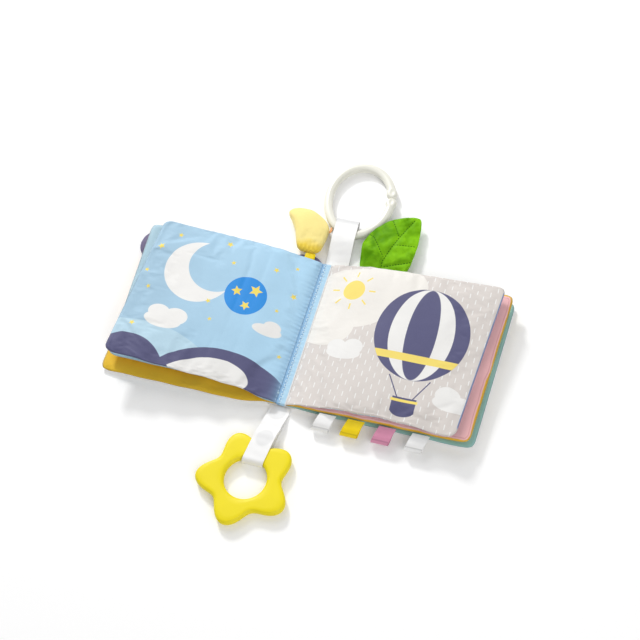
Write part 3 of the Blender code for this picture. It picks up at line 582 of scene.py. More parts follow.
def sky_print():
    """Left page: a crescent moon, hills, clouds and a ball with stars on a light-blue sky, with painted
    shade darkening it towards the outer edge and beside the spine seam.
    """
    look = Look("sky_page_cloth", NEAR_SKY, PAGE_ROUGHNESS, CLOTH_SHEEN)
    # Painted shade: the sky darkens from near the spine towards the outer edge.
    look.paint((look.x * 0.0095 - 0.15).held(), FAR_SKY_SHADE)
    look.paint(look.ellipses(PALE_HILL), PALE_SKY)
    look.paint(look.ellipses(*NAVY_HILLS), NAVY)
    look.paint(look.ellipses(SNOWY_HILL) * look.ellipses(SNOW_PATCH), OFF_WHITE)
    look.paint(look.ellipses(*SKY_CLOUDS), OFF_WHITE)
    look.paint(look.ellipses(MOON) * (1.0 - look.ellipses(MOON_HOLLOW)), OFF_WHITE)
    ball = look.ellipses(BALL)
    look.paint(ball, BRIGHT_BLUE)
    look.paint(ball * look.stars(*BALL_STARS), STAR_YELLOW)
    for index, star in enumerate(SKY_STARS):
        look.paint(look.stars((*star, SKY_STAR_TURN * index)), STAR_YELLOW)
    # Painted shade: the sky darkened close to the spine seam, in the crease by the binding.
    look.paint((look.x * -0.35).to("EXPONENT"), SEAM_SHADE_BLUE)
    look.stitches(THREAD_BLUE, 0.5)
    return look.woven()


def balloon_print():
    """Right page: a hot-air balloon, a sun and clouds on warm grey with white dashes."""
    look = Look("grey_page_cloth", WARM_GREY, PAGE_ROUGHNESS, CLOTH_SHEEN)
    look.paint(look.dashes(DASH_PITCH, DASH_LENGTH, DASH_WIDTH, 0.5 * DASH_PITCH[1]), OFF_WHITE)
    look.paint(look.ellipses(*GREY_PAGE_GLOWS), CREAM)
    look.paint(look.ellipses(*GREY_PAGE_CLOUDS), OFF_WHITE)
    rays = []
    for k in range(SUN_RAYS):
        turn = 2.0 * math.pi * k / SUN_RAYS
        x = SUN[0] + SUN_RAY_DISTANCE * math.cos(turn)
        y = SUN[1] + SUN_RAY_DISTANCE * math.sin(turn)
        rays.append(look.bar(x, y, *SUN_RAY_HALVES, math.degrees(turn)))
    look.paint(look.either(look.ellipses(SUN), *rays), SUN_YELLOW)
    for shape, shade in ((BALLOON, NAVY), (BALLOON_STRIPE, OFF_WHITE), (BALLOON_MIDDLE, NAVY)):
        look.paint(look.ellipses(shape), shade)
    look.paint(look.ellipses(BALLOON) * look.bar(*BALLOON_BAND), SUN_YELLOW)
    look.paint(look.either(*[look.bar(*rope) for rope in ROPES]), NAVY)
    look.paint(look.either(look.bar(*BASKET), look.ellipses(BASKET_FOOT)), NAVY)
    look.paint(look.bar(*BASKET_RIM), SUN_YELLOW)
    backing = ((1.1 - look.inward()) * 3.0).held()
    look.paint(backing * look.bar(*BACKING_EDGE, soft=2.0), BACKING_BLUE)
    look.stitches(OFF_WHITE, 0.12)
    return look.woven()


def dotted_print(name, base, mark):
    look = Look(name, base, CLOTH_ROUGHNESS, CLOTH_SHEEN)
    look.paint(look.dots(DOT_PITCH, DOT_RADIUS), mark)
    look.stitches(OFF_WHITE)
    return look.woven()


def starry_print(name, base, mark):
    """A few big and small stars on plain cloth, for the pages that the open book hides."""
    look = Look(name, base, CLOTH_ROUGHNESS, CLOTH_SHEEN)
    look.paint(look.stars(*[(*star, HIDDEN_STAR_TURN * star[0]) for star in HIDDEN_PAGE_STARS]), mark)
    look.stitches(OFF_WHITE)
    return look.woven()


def rimmed_cloth(name, base, rim):
    """Plain satin with the cloth of the leaf's other face rolled over its edge as a thin wavy line, and a
    band of painted shade just inside it where the cloth folds over.
    """
    look = Look(name, base, 0.45, 0.2)
    wavy = look.noise(70.0, 2.0) * RIM_WAVE + (RIM_WIDTH - 0.5 * RIM_WAVE)
    inward = look.inward()
    fold = (0.9 - abs(inward - (wavy + RIM_FOLD)) * 1.6).held()
    # Painted shade: a darker red band along the fold just inside the rolled edge.
    look.paint(fold * 0.45, FOLD_SHADE_RED)
    look.paint(((wavy - inward) * 3.0).held(), rim)
    return look.woven()


def plain_cloth(name, colour, roughness=0.7):
    return Look(name, colour, roughness, CLOTH_SHEEN).woven()


def satin(name, colour, mark=None, fold=None, turn=None):
    """Ribbon satin with fine ribs and, where given, a pale print, painted shade over a strap's turn and a
    painted shade line along a tag's fold.
    """
    look = Look(name, colour, 0.38, 0.12)
    if mark is not None:
        prints = look.ellipses((0.6, mark, 6.4, 7.4), (-0.4, mark + 24.0, 6.6, 7.4), soft=1.2)
        look.paint(prints * 0.45, PRINT_AND_SHADE_GREY)
    if turn is not None:
        # Painted shade: the strap's turn over the ring darkened towards grey.
        look.paint(look.bar(0.0, turn, 20.0, 6.5, soft=3.0) * 0.85, PRINT_AND_SHADE_GREY)
    if fold is not None:
        # Painted shade: a darker line across the ribbon where it turns down at its fold.
        shade = [0.80 * value for value in colour]
        look.paint(look.bar(0.0, fold, 20.0, 0.8, soft=0.7) * 0.85, shade)
    look.bump(look.y.wave(0.42), 0.03 * MM, 0.4)
    look.bump(look.x.wave(0.5), 0.03 * MM, 0.35)
    look.grain(SATIN_GRAIN)
    return look.tinted()


def flap_cloth():
    """Green satin with painted shade, darker to the left of its midrib and in soft patches, with dark
    stitches along its veins.
    """
    look = Look("leaf_flap_satin", LEAF_GREEN, 0.55, specular=0.08)
    # Painted shade: one half of the leaf darker than the other, and soft darker patches like the shade of
    # crinkles.
    from_midrib = look.y * -0.389 + (look.x - 11.4)
    lean = (from_midrib / 14.0).to("MAXIMUM", -1.0).to("MINIMUM", 1.0)
    shade = look.noise(70.0, 3.0, 0.8) * 2.2 - 0.65
    look.paint((lean * -0.22 + shade).held(), LEAF_SHADE)
    threads = []
    for (start_x, start_y), (end_x, end_y) in VEINS:
        run_x, run_y = end_x - start_x, end_y - start_y
        angle = math.atan2(run_y, run_x)
        middle = (0.5 * (start_x + end_x), 0.5 * (start_y + end_y))
        line = look.bar(*middle, 0.5 * math.hypot(run_x, run_y), VEIN_HALF_WIDTH, math.degrees(angle))
        along = look.y * math.sin(angle) + look.x * math.cos(angle)
        threads.append(line * (along.from_middle(VEIN_STITCH_PITCH) * 6.0 - 0.6).held())
    look.paint(look.either(*threads) * 0.9, VEIN_GREEN)
    return look.woven()


def charm_fleece(base):
    """Fleece that is darker near its gathered base, which is given in page millimetres."""
    look = Look("charm_fleece", CHARM_YELLOW, 0.85, CLOTH_SHEEN)
    edge = look.noise(180.0, 3.0) * 6.0 + (base + 1.5)
    look.paint(((edge + 5.0 - look.y) / 6.0).held(), CHARM_BASE)
    look.grain(FLEECE_GRAIN)
    return look.tinted()


def binding_cloth():
    """Ribbed binding with painted shade on its left, where its stitches run beside the left page, and pale
    along its right edge.
    """
    look = Look("binding_cloth", BINDING_BLUE, 0.6, 0.2)
    rib = look.y.wave(0.9)
    look.paint(rib * 0.12 + 0.15, THREAD_BLUE)
    # Painted shade on the binding's left side, in the crease by the left page.
    look.paint(((-0.6 - look.x) * 2.0).held(), SEAM_SHADE_BLUE)
    look.paint(((look.x - 2.5) * 2.0).held(), OFF_WHITE)
    look.bump(rib, 0.12 * MM, 0.6)
    return look.woven()


def plastic(name, colour, roughness, grain, depth, subsurface=0.0):
    """Moulded plastic or silicone with a fine grain and slight wear."""
    look = Look(name, colour, roughness, specular=0.45)
    look.grain(((grain, 3.0, 0.0, depth, 0.5),))
    look.set_shader({
        "Subsurface Weight": subsurface,
        "Subsurface Radius": (0.003, 0.003, 0.002),
        "Subsurface Scale": 0.6,
        "Roughness": look.noise(35.0, 2.0) * 0.16 + (roughness - 0.08),
    })
    return look.tinted()


# Mesh helpers


def smooth_step(value):
    held = np.clip(value, 0.0, 1.0)
    return held * held * (3.0 - 2.0 * held)


def smoothed(grid, passes):
    """A grid of heights with its inner points drawn towards their neighbours."""
    made = grid.copy()
    for _ in range(passes):
        inner = 0.25 * (made[:-2, 1:-1] + made[2:, 1:-1] + made[1:-1, :-2] + made[1:-1, 2:])
        made[1:-1, 1:-1] = 0.5 * made[1:-1, 1:-1] + 0.5 * inner
    return made


def crowded(share, crowding):
    """A share from 0 to 1 as a place from -1 to 1, with the places closer together near both ends."""
    even = 2.0 * share - 1.0
    return crowding * math.sin(0.5 * math.pi * even) + (1.0 - crowding) * even


def coordinates(mesh, kind="co"):
    """The places of a mesh's points, or with "normal" their normals."""
    flat = np.zeros(3 * len(mesh.vertices))
    mesh.vertices.foreach_get(kind, flat)
    return flat.reshape(-1, 3)


def set_coordinates(mesh, points):
    mesh.vertices.foreach_set("co", points.astype(np.float32).ravel())
    mesh.update()


def tree_of(node):
    mesh = frame["nodes"][node].data
    return BVHTree.FromPolygons([v.co for v in mesh.vertices], [p.vertices for p in mesh.polygons])


def first_height(tree, places, sign):
    """Height of a surface, seen from above or below, at the first of some places in plan where it is met."""
    for x, y in places:
        hit = tree.ray_cast(Vector((x, y, sign)), Vector((0.0, 0.0, -sign)))[0]
        if hit is not None:
            return hit.z
    return None


def link(obj):
    bpy.context.scene.collection.objects.link(obj)
    return obj


def to_object(editor, name):
    """An object with smooth faces made of an edited mesh."""
    for face in editor.faces:
        face.smooth = True
    mesh = bpy.data.meshes.new(name)
    editor.to_mesh(mesh)
    editor.free()
    return link(bpy.data.objects.new(name, mesh))


def subdivide(obj, levels):
    subdivision = obj.modifiers.new("smooth", "SUBSURF")
    subdivision.levels = subdivision.render_levels = levels


def dress(obj, look, body, slot_name, *nodes):
    """Gives a piece its material, puts it on the body that it rides and hides the nodes that it replaces;
    its slot name is not used.
    """
    if look is not None:
        obj.data.materials.append(look)
    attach(obj, body)
    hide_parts(*nodes)


def plan_page(place):
    """Page coordinates that follow the plan of the whole book."""
    return place[0] / (PAGE_MM * MM), place[1] / (PAGE_MM * MM)


def shell(name, sheets, page_place):
    """A closed mesh of two sheets of points and the band between their edges."""
    editor = bmesh.new()
    page = editor.loops.layers.uv.new("page")
    lines, places = len(sheets[0]), len(sheets[0][0])
    lower, upper = [[[editor.verts.new(point) for point in line] for line in sheet] for sheet in sheets]
    for sheet in (lower, upper):
        for i, j in np.ndindex(lines - 1, places - 1):
            editor.faces.new((sheet[i][j], sheet[i + 1][j], sheet[i + 1][j + 1], sheet[i][j + 1]))
    rim = [(i, 0) for i in range(lines)] + [(lines - 1, j) for j in range(1, places)]
    rim += [(i, places - 1) for i in range(lines - 2, -1, -1)] + [(0, j) for j in range(places - 2, 0, -1)]
    for (i, j), (after_i, after_j) in zip(rim, rim[1:] + rim[:1]):
        editor.faces.new((lower[i][j], lower[after_i][after_j], upper[after_i][after_j], upper[i][j]))
    spots = {sheet[i][j]: (i, j) for sheet in (lower, upper) for i, j in np.ndindex(lines, places)}
    bmesh.ops.recalc_face_normals(editor, faces=editor.faces)
    for face in editor.faces:
        for loop in face.loops:
            loop[page].uv = page_place(loop.vert.co, *spots[loop.vert])
    return to_object(editor, name)


# Padded cloth


class Pad:
    """A closed cloth pad: its mesh, the points of its seam and the pairs that face each other across it."""

    def __init__(self, name, surfaces, looks, to_page=plan_page, mirrored=False, inward=None):
        columns, rows = surfaces.shape[1] - 1, surfaces.shape[2] - 1
        editor = bmesh.new()
        page = editor.loops.layers.uv.new("page")
        depth = None if inward is None else editor.verts.layers.float.new("inward")
        rim = {}
        grids = []
        for surface in surfaces:
            grid = {}
            for spot in np.ndindex(columns + 1, rows + 1):
                if spot in rim:
                    grid[spot] = rim[spot]
                    continue
                grid[spot] = editor.verts.new(surface[spot])
                if depth is not None:
                    grid[spot][depth] = inward[spot]
                if spot[0] in (0, columns) or spot[1] in (0, rows):
                    rim[spot] = grid[spot]
            grids.append(grid)
        for which, grid in enumerate(grids):
            for i, j in np.ndindex(columns, rows):
                corners = [grid[i, j], grid[i + 1, j], grid[i + 1, j + 1], grid[i, j + 1]]
                if mirrored == (which == 0):
                    corners.reverse()
                face = editor.faces.new(corners)
                face.material_index = which if len(looks) > 1 else 0
                for loop in face.loops:
                    loop[page].uv = to_page(loop.vert.co)
        if depth is not None:
            crease = editor.edges.layers.float.new("crease_edge")
            seam = set(rim.values())
            for edge in editor.edges:
                if seam.issuperset(edge.verts):
                    edge[crease] = RIM_CREASE
        editor.verts.index_update()
        above, below = grids
        self.seam = sorted(point.index for point in rim.values())
        self.facing = np.array([(above[spot].index, below[spot].index) for spot in above if spot not in rim])
        self.obj = to_object(editor, name)
        self.mesh = self.obj.data
        for look in looks:
            self.mesh.materials.append(look)
        self.fill = self.thickness(coordinates(self.mesh))

    def thickness(self, points):
        return points[self.facing[:, 0], 2] - points[self.facing[:, 1], 2]

    def simulated(self, excess):
        """Where the cloth, cut a little too large, settles under the push of its filling."""
        group = self.obj.vertex_groups.new(name="seam")
        group.add(self.seam, 1.0, "REPLACE")
        cloth = self.obj.modifiers.new("cloth", "CLOTH")
        for name, value in CLOTH_SETTINGS.items():
            setattr(cloth.settings, name, value)
        cloth.settings.shrink_min = -excess
        cloth.settings.effector_weights.gravity = 0.0
        cloth.collision_settings.use_collision = False
        cloth.collision_settings.use_self_collision = False
        cloth.point_cache.frame_start = 1
        cloth.point_cache.frame_end = CLOTH_FRAMES
        scene = bpy.context.scene
        for number in range(1, CLOTH_FRAMES + 1):
            scene.frame_set(number)
        depsgraph = bpy.context.evaluated_depsgraph_get()
        settled = coordinates(self.obj.evaluated_get(depsgraph).data)
        self.obj.modifiers.remove(cloth)
        self.obj.vertex_groups.remove(group)
        scene.frame_set(1)
        return settled

    def settle(self, excess=CLOTH_EXCESS):
        """Moves the pad towards its simulated shape, within set limits of rise, fall and slide."""
        before = coordinates(self.mesh)
        moved = self.simulated(excess) - before
        normals = coordinates(self.mesh, "normal")
        out = (moved * normals).sum(1)
        slide = SETTLE_SHARE * (moved - out[:, None] * normals)
        length = np.maximum(np.linalg.norm(slide, axis=1), 1e-9)
        slide *= np.minimum(MOST_SLIDE / length, 1.0)[:, None]
        out -= np.median(out) * self.from_seam(before)
        out = np.clip(SETTLE_SHARE * out, -MOST_FALL, MOST_RISE)
        set_coordinates(self.mesh, before + slide + out[:, None] * normals)

    def from_seam(self, points):
        """How far each point is from the held seam: 0 on it, and 1 well inside the pad."""
        near = KDTree(len(self.seam))
        for index in self.seam:
            near.insert(points[index], index)
        near.balance()
        return smooth_step(np.array([near.find(point)[2] for point in points]) / SEAM_REACH)

    def lift(self, amount):
        """Moves each point along its normal by what a function of its place gives, with the seam held."""
        points = coordinates(self.mesh)
        normals = coordinates(self.mesh, "normal")
        rise = np.array([amount(Vector(point), Vector(normal)) for point, normal in zip(points, normals)])
        rise[self.seam] = 0.0
        set_coordinates(self.mesh, points + normals * rise[:, None])

    def keep_apart(self):
        """Lifts the two cloths off each other wherever they would come closer than a share of the fill."""
        points = coordinates(self.mesh)
        short = np.maximum(LEAST_FILL_SHARE * self.fill - self.thickness(points), 0.0)
        points[self.facing[:, 0], 2] += 0.5 * short
        points[self.facing[:, 1], 2] -= 0.5 * short
        set_coordinates(self.mesh, points)

    def keep_up(self):
        """Keeps the cloth off the ground that the book lies on."""
        points = coordinates(self.mesh)
        points[:, 2] = np.maximum(points[:, 2], LEAST_HEIGHT)
        set_coordinates(self.mesh, points)

    def finish(self, body, slot_name, nodes, fill):
        subdivide(self.obj, 1)
        dress(self.obj, None, body, slot_name, *nodes)


def sewn(plan, heights):
    """Points of the upper and lower cloth of a pad, which meet halfway along its edge."""
    points = np.zeros((2, *plan.shape[:2], 3))
    points[..., :2] = plan
    points[..., 2] = heights
    rim = np.ones(plan.shape[:2], dtype=bool)
    rim[1:-1, 1:-1] = False
    points[:, rim, 2] = heights.mean(axis=0)[rim]
    return points


# Leaves


def outer_edge(node, side):
    """Distance of a panel's outer edge from the spine, at its top and at its bottom."""
    points = [v.co for v in frame["nodes"][node].data.vertices]
    top, bottom = [max(side * p.x for p in points if sign * p.y > CORNER_PLACE) for sign in (1.0, -1.0)]
    middle, spread = 0.5 * (top + bottom), 0.5 * (top - bottom) / CORNER_SHARE
    return middle + spread, middle - spread


def rounded(from_edge, from_side):
    """Moves a point of a square corner onto the round one."""
    across, along = CORNER_RADIUS - from_edge, CORNER_RADIUS - from_side
    if min(across, along) <= 0.0:
        return from_edge, from_side
    share = max(across, along) / math.hypot(across, along)
    return CORNER_RADIUS - across * share, CORNER_RADIUS - along * share


def panel_height(tree, x, y, sign):
    """Height of a panel at a place in plan, drawn inwards step by step where a round corner misses it."""
    places = ((x * share, y * share) for share in 1.0 - 0.004 * np.arange(12))
    return first_height(tree, places, sign) or 0.0


def leaf_plan(body, side, half, columns, rows):
    """Plan positions and the two heights of a leaf on a fine grid, read from the frame's panels."""
    upper = body + "_upper_panel"
    low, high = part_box(upper)
    start = low.x if side > 0.0 else -high.x
    top, bottom = outer_edge(upper, side)
    outer = [v.co.y for v in frame["nodes"][upper].data.vertices if side * v.co.x > OVERHANG_PLACE]
    overhang = -min(outer) - half
    trees = tree_of(upper), tree_of(body + "_lower_panel")
    plan = np.zeros((columns + 1, rows + 1, 2))
    heights = np.zeros((2, columns + 1, rows + 1))
    for i, j in np.ndindex(columns + 1, rows + 1):
        along = crowded(j / rows, GRID_CROWDING)
        width = bottom + (top - bottom) * (0.5 + 0.5 * along) - start
        from_edge, from_side = rounded(width - width * i / columns, half - abs(along) * half)
        x = start + width - from_edge
        y = math.copysign(half - from_side, along)
        inside_x = side * min(max(x, start + ROOT_INSET), start + width - PANEL_INSET)
        inside_y = max(min(y, half - PANEL_INSET), PANEL_INSET - half)
        hang = overhang * smooth_step((x - OVERHANG_START) / OVERHANG_TAPER)
        hang += LOWER_EDGE_BOWS.get(body, 0.0) * math.sin(math.pi * i / columns) ** 1.5
        hang += LOWER_CORNER_REACH.get(body, 0.0) * smooth_step(2.5 * (i / columns - 0.6))
        y -= hang * (0.5 - 0.5 * y / half)
        inside_y -= min(hang, overhang) * (0.5 - 0.5 * inside_y / half)
        plan[i, j] = (side * x, y)
        for which, (tree, sign) in enumerate(zip(trees, (1.0, -1.0))):
            heights[which, i, j] = panel_height(tree, inside_x, inside_y, sign)
    return plan, np.array([smoothed(grid, HEIGHT_PASSES) for grid in heights])


def leaf_pad(body, level, columns, rows, looks):
    """The upper and lower cloth of a leaf, sewn together round the edge and held at its hinge."""
    low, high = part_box(body + "_upper_panel")
    side, half = (1.0 if low.x > 0.0 else -1.0), high.y
    plan, heights = leaf_plan(body, side, half, columns, rows)
    points = sewn(plan, heights)
    hinge_z = HINGE_Z + (level - 1) * HINGE_LEVEL_STEP
    reach = side * points[..., 0] - HINGE_X
    points[..., 2] = np.minimum(points[..., 2], hinge_z + ROOT_SLOPE * reach + ROOT_CURVE * reach ** 2 / MM)
    points[:, 0, :, 0] = side * HINGE_X
    points[:, 0, :, 2] = hinge_z
    ends = (plan[-1:, :], plan[:, :1], plan[:, -1:])
    inward = np.min([np.linalg.norm(end - plan, axis=2) for end in ends], axis=0) / MM

    def to_page(place):
        return plan_page((side * place.x - HINGE_X, place.y + half))

    return Pad(body + "_cloth", points, looks, to_page, side < 0.0, inward), side


def noises(columns, third):
    """Smooth noise at the places that some columns of numbers and one more number give."""
    return np.array([noise.noise(Vector(place)) for place in zip(*columns, third)])


def near_edge(distance, reach, seam):
    """How strongly an edge's gathers show at some distances from it, from nothing in the seam itself."""
    return np.exp(-distance / reach) * np.minimum(distance / seam, 1.0)


def pucker(pad, side, share, seed, gathered):
    """Gathers from the spine seam into the page, smaller ones from its other edges, and swells."""
    points = coordinates(pad.mesh)
    x, y = points[:, 0].copy(), points[:, 1].copy()
    half = np.abs(y).max()
    reach = side * x - HINGE_X
    outer = reach.max() - reach
    across = half - np.abs(y)
    same = np.full(len(y), seed)
    wobble = noises((same, y * 90.0), reach * 40.0)
    height = share * PUCKER_HEIGHT
    wave = np.sin(2.0 * math.pi * y / PUCKER_PITCH + 4.0 * wobble)
    lift = gathered * height * wave * near_edge(reach, PUCKER_REACH, SPINE_SEAM_WIDTH) * (0.7 + 0.6 * wobble)
    for run, pitch, distance in ((reach, 1.7 * PUCKER_PITCH, across), (y, 1.9 * PUCKER_PITCH, outer)):
        ripple = np.sin(2.0 * math.pi * run / pitch + 5.0 * wobble)
        lift += RIPPLE_SHARE * height * ripple * near_edge(distance, RIPPLE_REACH, SEAM_WIDTH)
    inside = np.minimum(np.minimum(across, reach) / SWELL_START, 1.0)
    lift += share * SWELL_HEIGHT * noises((x * SWELL_SCALE, y * SWELL_SCALE), same) * inside
    lift[pad.seam] = 0.0
    points += coordinates(pad.mesh, "normal") * lift[:, None]
    wave = np.sin(2.0 * math.pi * reach / EDGE_WAVE_PITCH + seed)
    wave *= np.exp(-(points[:, 1] + half) / EDGE_WAVE_REACH)
    points[:, 2] += share * EDGE_WAVE_HEIGHT * wave * np.minimum(reach / EDGE_WAVE_START, 1.0)
    set_coordinates(pad.mesh, points)


def leaves():
    """The six padded leaves, each with the cloth of its two faces."""
    starry_teal = starry_print("pale_teal_page_cloth", PALE_TEAL, OFF_WHITE)
    mustard = plain_cloth("mustard_cloth", MUSTARD)
    looks = {
        "left_top_leaf": (sky_print(), dotted_print("pale_teal_back_cloth", PALE_TEAL, OFF_WHITE)),
        "left_middle_leaf": (starry_teal, mustard),
        "front_cover_leaf": (mustard, starry_print("front_cover_cloth", CREAM, NAVY)),
        "right_top_leaf": (balloon_print(), starry_print("blue_back_cloth", SKY, OFF_WHITE)),
        "right_middle_leaf": (rimmed_cloth("pink_page_cloth", PINK, MUSTARD_RIM), mustard),
        "back_cover_leaf": (
            starry_print("teal_page_cloth", TEAL, OFF_WHITE),
            dotted_print("back_cover_cloth", CREAM, NAVY),
        ),
    }
    for number, (body, level, columns, rows) in enumerate(LEAVES):
        pad, side = leaf_pad(body, level, columns, rows, looks[body])
        pad.settle()
        share = 1.0 if level == TOP_LEVEL else 0.5
        pucker(pad, side, share, 7.3 * number, GATHER_SHARES.get(body, 1.0))
        pad.keep_apart()
        pad.keep_up()
        pad.finish(body, body + "_upper", [body + ending for ending in LEAF_NODE_ENDINGS], 0.35)


# Pads with a free outline: the leaf flap, the charm and the ears


def extent(mesh, y):
    """Where the outline of a solid crosses a line across it."""
    points = coordinates(mesh)[:, :2]
    edges = np.array([edge.vertices[:] for edge in mesh.edges])
    first, second = points[edges[:, 0]], points[edges[:, 1]]
    crossing = (first[:, 1] - y) * (second[:, 1] - y) < 0.0
    first, second = first[crossing], second[crossing]
    share = (y - first[:, 1]) / (second[:, 1] - first[:, 1])
    x = first[:, 0] + share * (second[:, 0] - first[:, 0])
    return x.min(), x.max()


def shell_height(tree, x, y, sign, middle):
    """Height of a shell at a place in plan, drawn towards its middle line where the rim is missed."""
    height = first_height(tree, ((x + (middle - x) * 0.08 * step, y) for step in range(10)), sign)
    return tree.find_nearest(Vector((x, y, 0.0)))[0].z if height is None else height


def free_pad(name, looks, front, back, columns, rows, passes):
    """A closed pad between two CAD shells, whose cloths share the seam round the outline."""
    mesh = frame["nodes"][front].data
    trees = tree_of(front), tree_of(back)
    ends = coordinates(mesh)[:, 1]
    low, high = ends.min() + 0.12 * MM, ends.max() - 0.12 * MM
    plan = np.zeros((columns + 1, rows + 1, 2))
    heights = np.zeros((2, columns + 1, rows + 1))
    for j in range(rows + 1):
        y = low + (high - low) * (0.5 + 0.5 * crowded(j / rows, GRID_CROWDING))
        left, right = extent(mesh, y)
        middle, half = 0.5 * (left + right), 0.5 * (right - left)
        near_y = min(max(y, low + 0.6 * MM), high - 0.6 * MM)
        for i in range(columns + 1):
            across = crowded(i / columns, 0.4)
            plan[i, j] = (middle + half * across, y)
            near_x = middle + max(half - 0.7 * MM, 0.0) * across
            for which, (tree, sign) in enumerate(zip(trees, (1.0, -1.0))):
                heights[which, i, j] = shell_height(tree, near_x, near_y, sign, middle)
    heights = np.array([smoothed(grid, passes) for grid in heights])
    return Pad(name, sewn(plan, heights), looks)


def from_line(x, y, start, end):
    """Distance in plan from a stretch of straight line."""
    run = (end[0] - start[0], end[1] - start[1])
    share = ((x - start[0]) * run[0] + (y - start[1]) * run[1]) / (run[0] ** 2 + run[1] ** 2)
    share = min(max(share, 0.0), 1.0)
    return math.hypot(x - start[0] - share * run[0], y - start[1] - share * run[1])


def leaf_flap():
    """The quilted green leaf, with its stitched midrib and side veins pressed in."""
    front, back = "leaf_flap_front_panel", "leaf_flap_back_panel"
    pad = free_pad("leaf_flap_cloth", [flap_cloth()], front, back, 40, 46, 3)
    pad.settle()

    def relief(point, normal):
        x, y = point.x / MM, point.y / MM
        near = min(from_line(x, y, start, end) for start, end in VEINS)
        crease = -VEIN_DEPTH * math.exp(-near ** 2)
        crumple = noise.noise(Vector((x * 0.11, y * 0.11, 3.1 * math.copysign(1.0, normal.z))))
        fine = noise.noise(Vector((x * 0.32, y * 0.32, 9.0)))
        share = 1.0 if normal.z > 0.0 else 0.35
        return share * MM * (crease + 1.25 * crumple + 0.50 * fine)

    pad.lift(relief)
    pad.keep_apart()
    pad.finish("leaf_flap", "leaf_cloth", (front, back, "leaf_flap_crinkle_film"), 0.25)


def charm():
    """The stuffed charm: soft fleece, darker where it is gathered at the stem."""
    front, back = "charm_front_shell", "charm_back_shell"
    pad = free_pad("charm_fleece", [], front, back, 34, 38, 4)
    pad.settle(CHARM_EXCESS)
    base = min(v.co.y for v in pad.mesh.vertices)

    def gathers(point, normal):
        up = (point.y - base) / MM
        wave = math.sin(2.0 * math.pi * point.x / (3.1 * MM)) * math.exp(-up / 4.5)
        soft = noise.noise(Vector((point.x * 95.0, point.y * 95.0, 4.0 + point.z * 60.0)))
        return MM * (0.45 * wave + 0.5 * soft)

    pad.lift(gathers)
    pad.keep_apart()
    pad.mesh.materials.append(charm_fleece(base / MM))
    pad.finish("charm", "charm_plush", (front, back, "charm_stuffing"), 0.8)


def ears():
    """The two padded ear tabs that stand out from the front cover's seam."""
    cloth = plain_cloth("ear_cloth", EAR_MAUVE, 0.6)

    def creased(point, normal):
        return 0.3 * MM * noise.noise(Vector((point.x * 220.0, point.y * 220.0, 2.0)))

    for node, columns, rows in (("side_ear", 18, 26), ("top_ear", 28, 14)):
        pad = free_pad(node + "_cloth", [cloth], node, node, columns, rows, 2)
        pad.lift(creased)
        pad.finish("front_cover_leaf", "ear_cloth", [node], 0.5)


# Ribbons


def arc(centre, radius, start, end, steps):
    turns = [math.radians(start + (end - start) * k / steps) for k in range(steps + 1)]
    return [(centre[0] + radius * math.cos(t), centre[1] + radius * math.sin(t)) for t in turns]


def folded(lower, upper, turn_centre, radius, steps):
    """A ribbon's whole centre line: a sewn end, the lower layer, the fold, the upper layer and an end."""
    spread = 0.5 * LAYER_SPACING
    tail = [(SEWN_END, -spread), (SEWN_START, -spread)]
    back = [(SEWN_START, spread), (SEWN_END, spread)]
    return tail + lower[:-1] + arc(turn_centre, radius, -90.0, 90.0, steps) + upper[-2::-1] + back


def strap_path(length, held_top, held_from, waviness=0.0):
    """Centre line of a strap from its seat: out along the ground and back over the held piece."""
    spread = 0.5 * LAYER_SPACING
    low = GROUND_GAP + 0.5 * RIBBON_THICKNESS - STRAP_SEAT_Z
    high = held_top + HELD_GAP + 0.5 * RIBBON_THICKNESS - STRAP_SEAT_Z
    radius = 0.5 * (high - low)
    turn = length - radius
    lower, upper = [], []
    for k in range(STRAP_STEPS + 1):
        y = TAIL_LENGTH + (turn - TAIL_LENGTH) * k / STRAP_STEPS
        lower.append((y, -spread + (low + spread) * smooth_step(4.0 * k / STRAP_STEPS)))
        climb = smooth_step((y - TAIL_LENGTH) / (held_from - TAIL_LENGTH))
        ripple = math.sin(2.0 * math.pi * climb) ** 2
        upper.append((y, spread + (high - spread) * climb + waviness * ripple))
    return folded(lower, upper, (turn, low + radius), radius, STRAP_ARC_STEPS)


def tag_path():
    """Centre line of a folded tag, in millimetres from its seat."""
    radius = 0.5 * (TAG_END_HEIGHT - RIBBON_THICKNESS)
    turn = TAG_LENGTH - 0.5 * TAG_END_HEIGHT
    lower, upper = [], []
    for k in range(TAG_STEPS + 1):
        share = k / TAG_STEPS
        y = TAIL_LENGTH + (turn - TAIL_LENGTH) * share
        spread = 0.5 * LAYER_SPACING
        spread += (radius - spread) * smooth_step(share)
        droop = -TAG_DROOP * share ** 1.5
        lower.append((y, droop - spread))
        upper.append((y, droop + spread))
    return folded(lower, upper, (turn, -TAG_DROOP), radius, TAG_STEPS)


def path_length(path):
    return sum(math.dist(before, after) for before, after in zip(path, path[1:]))


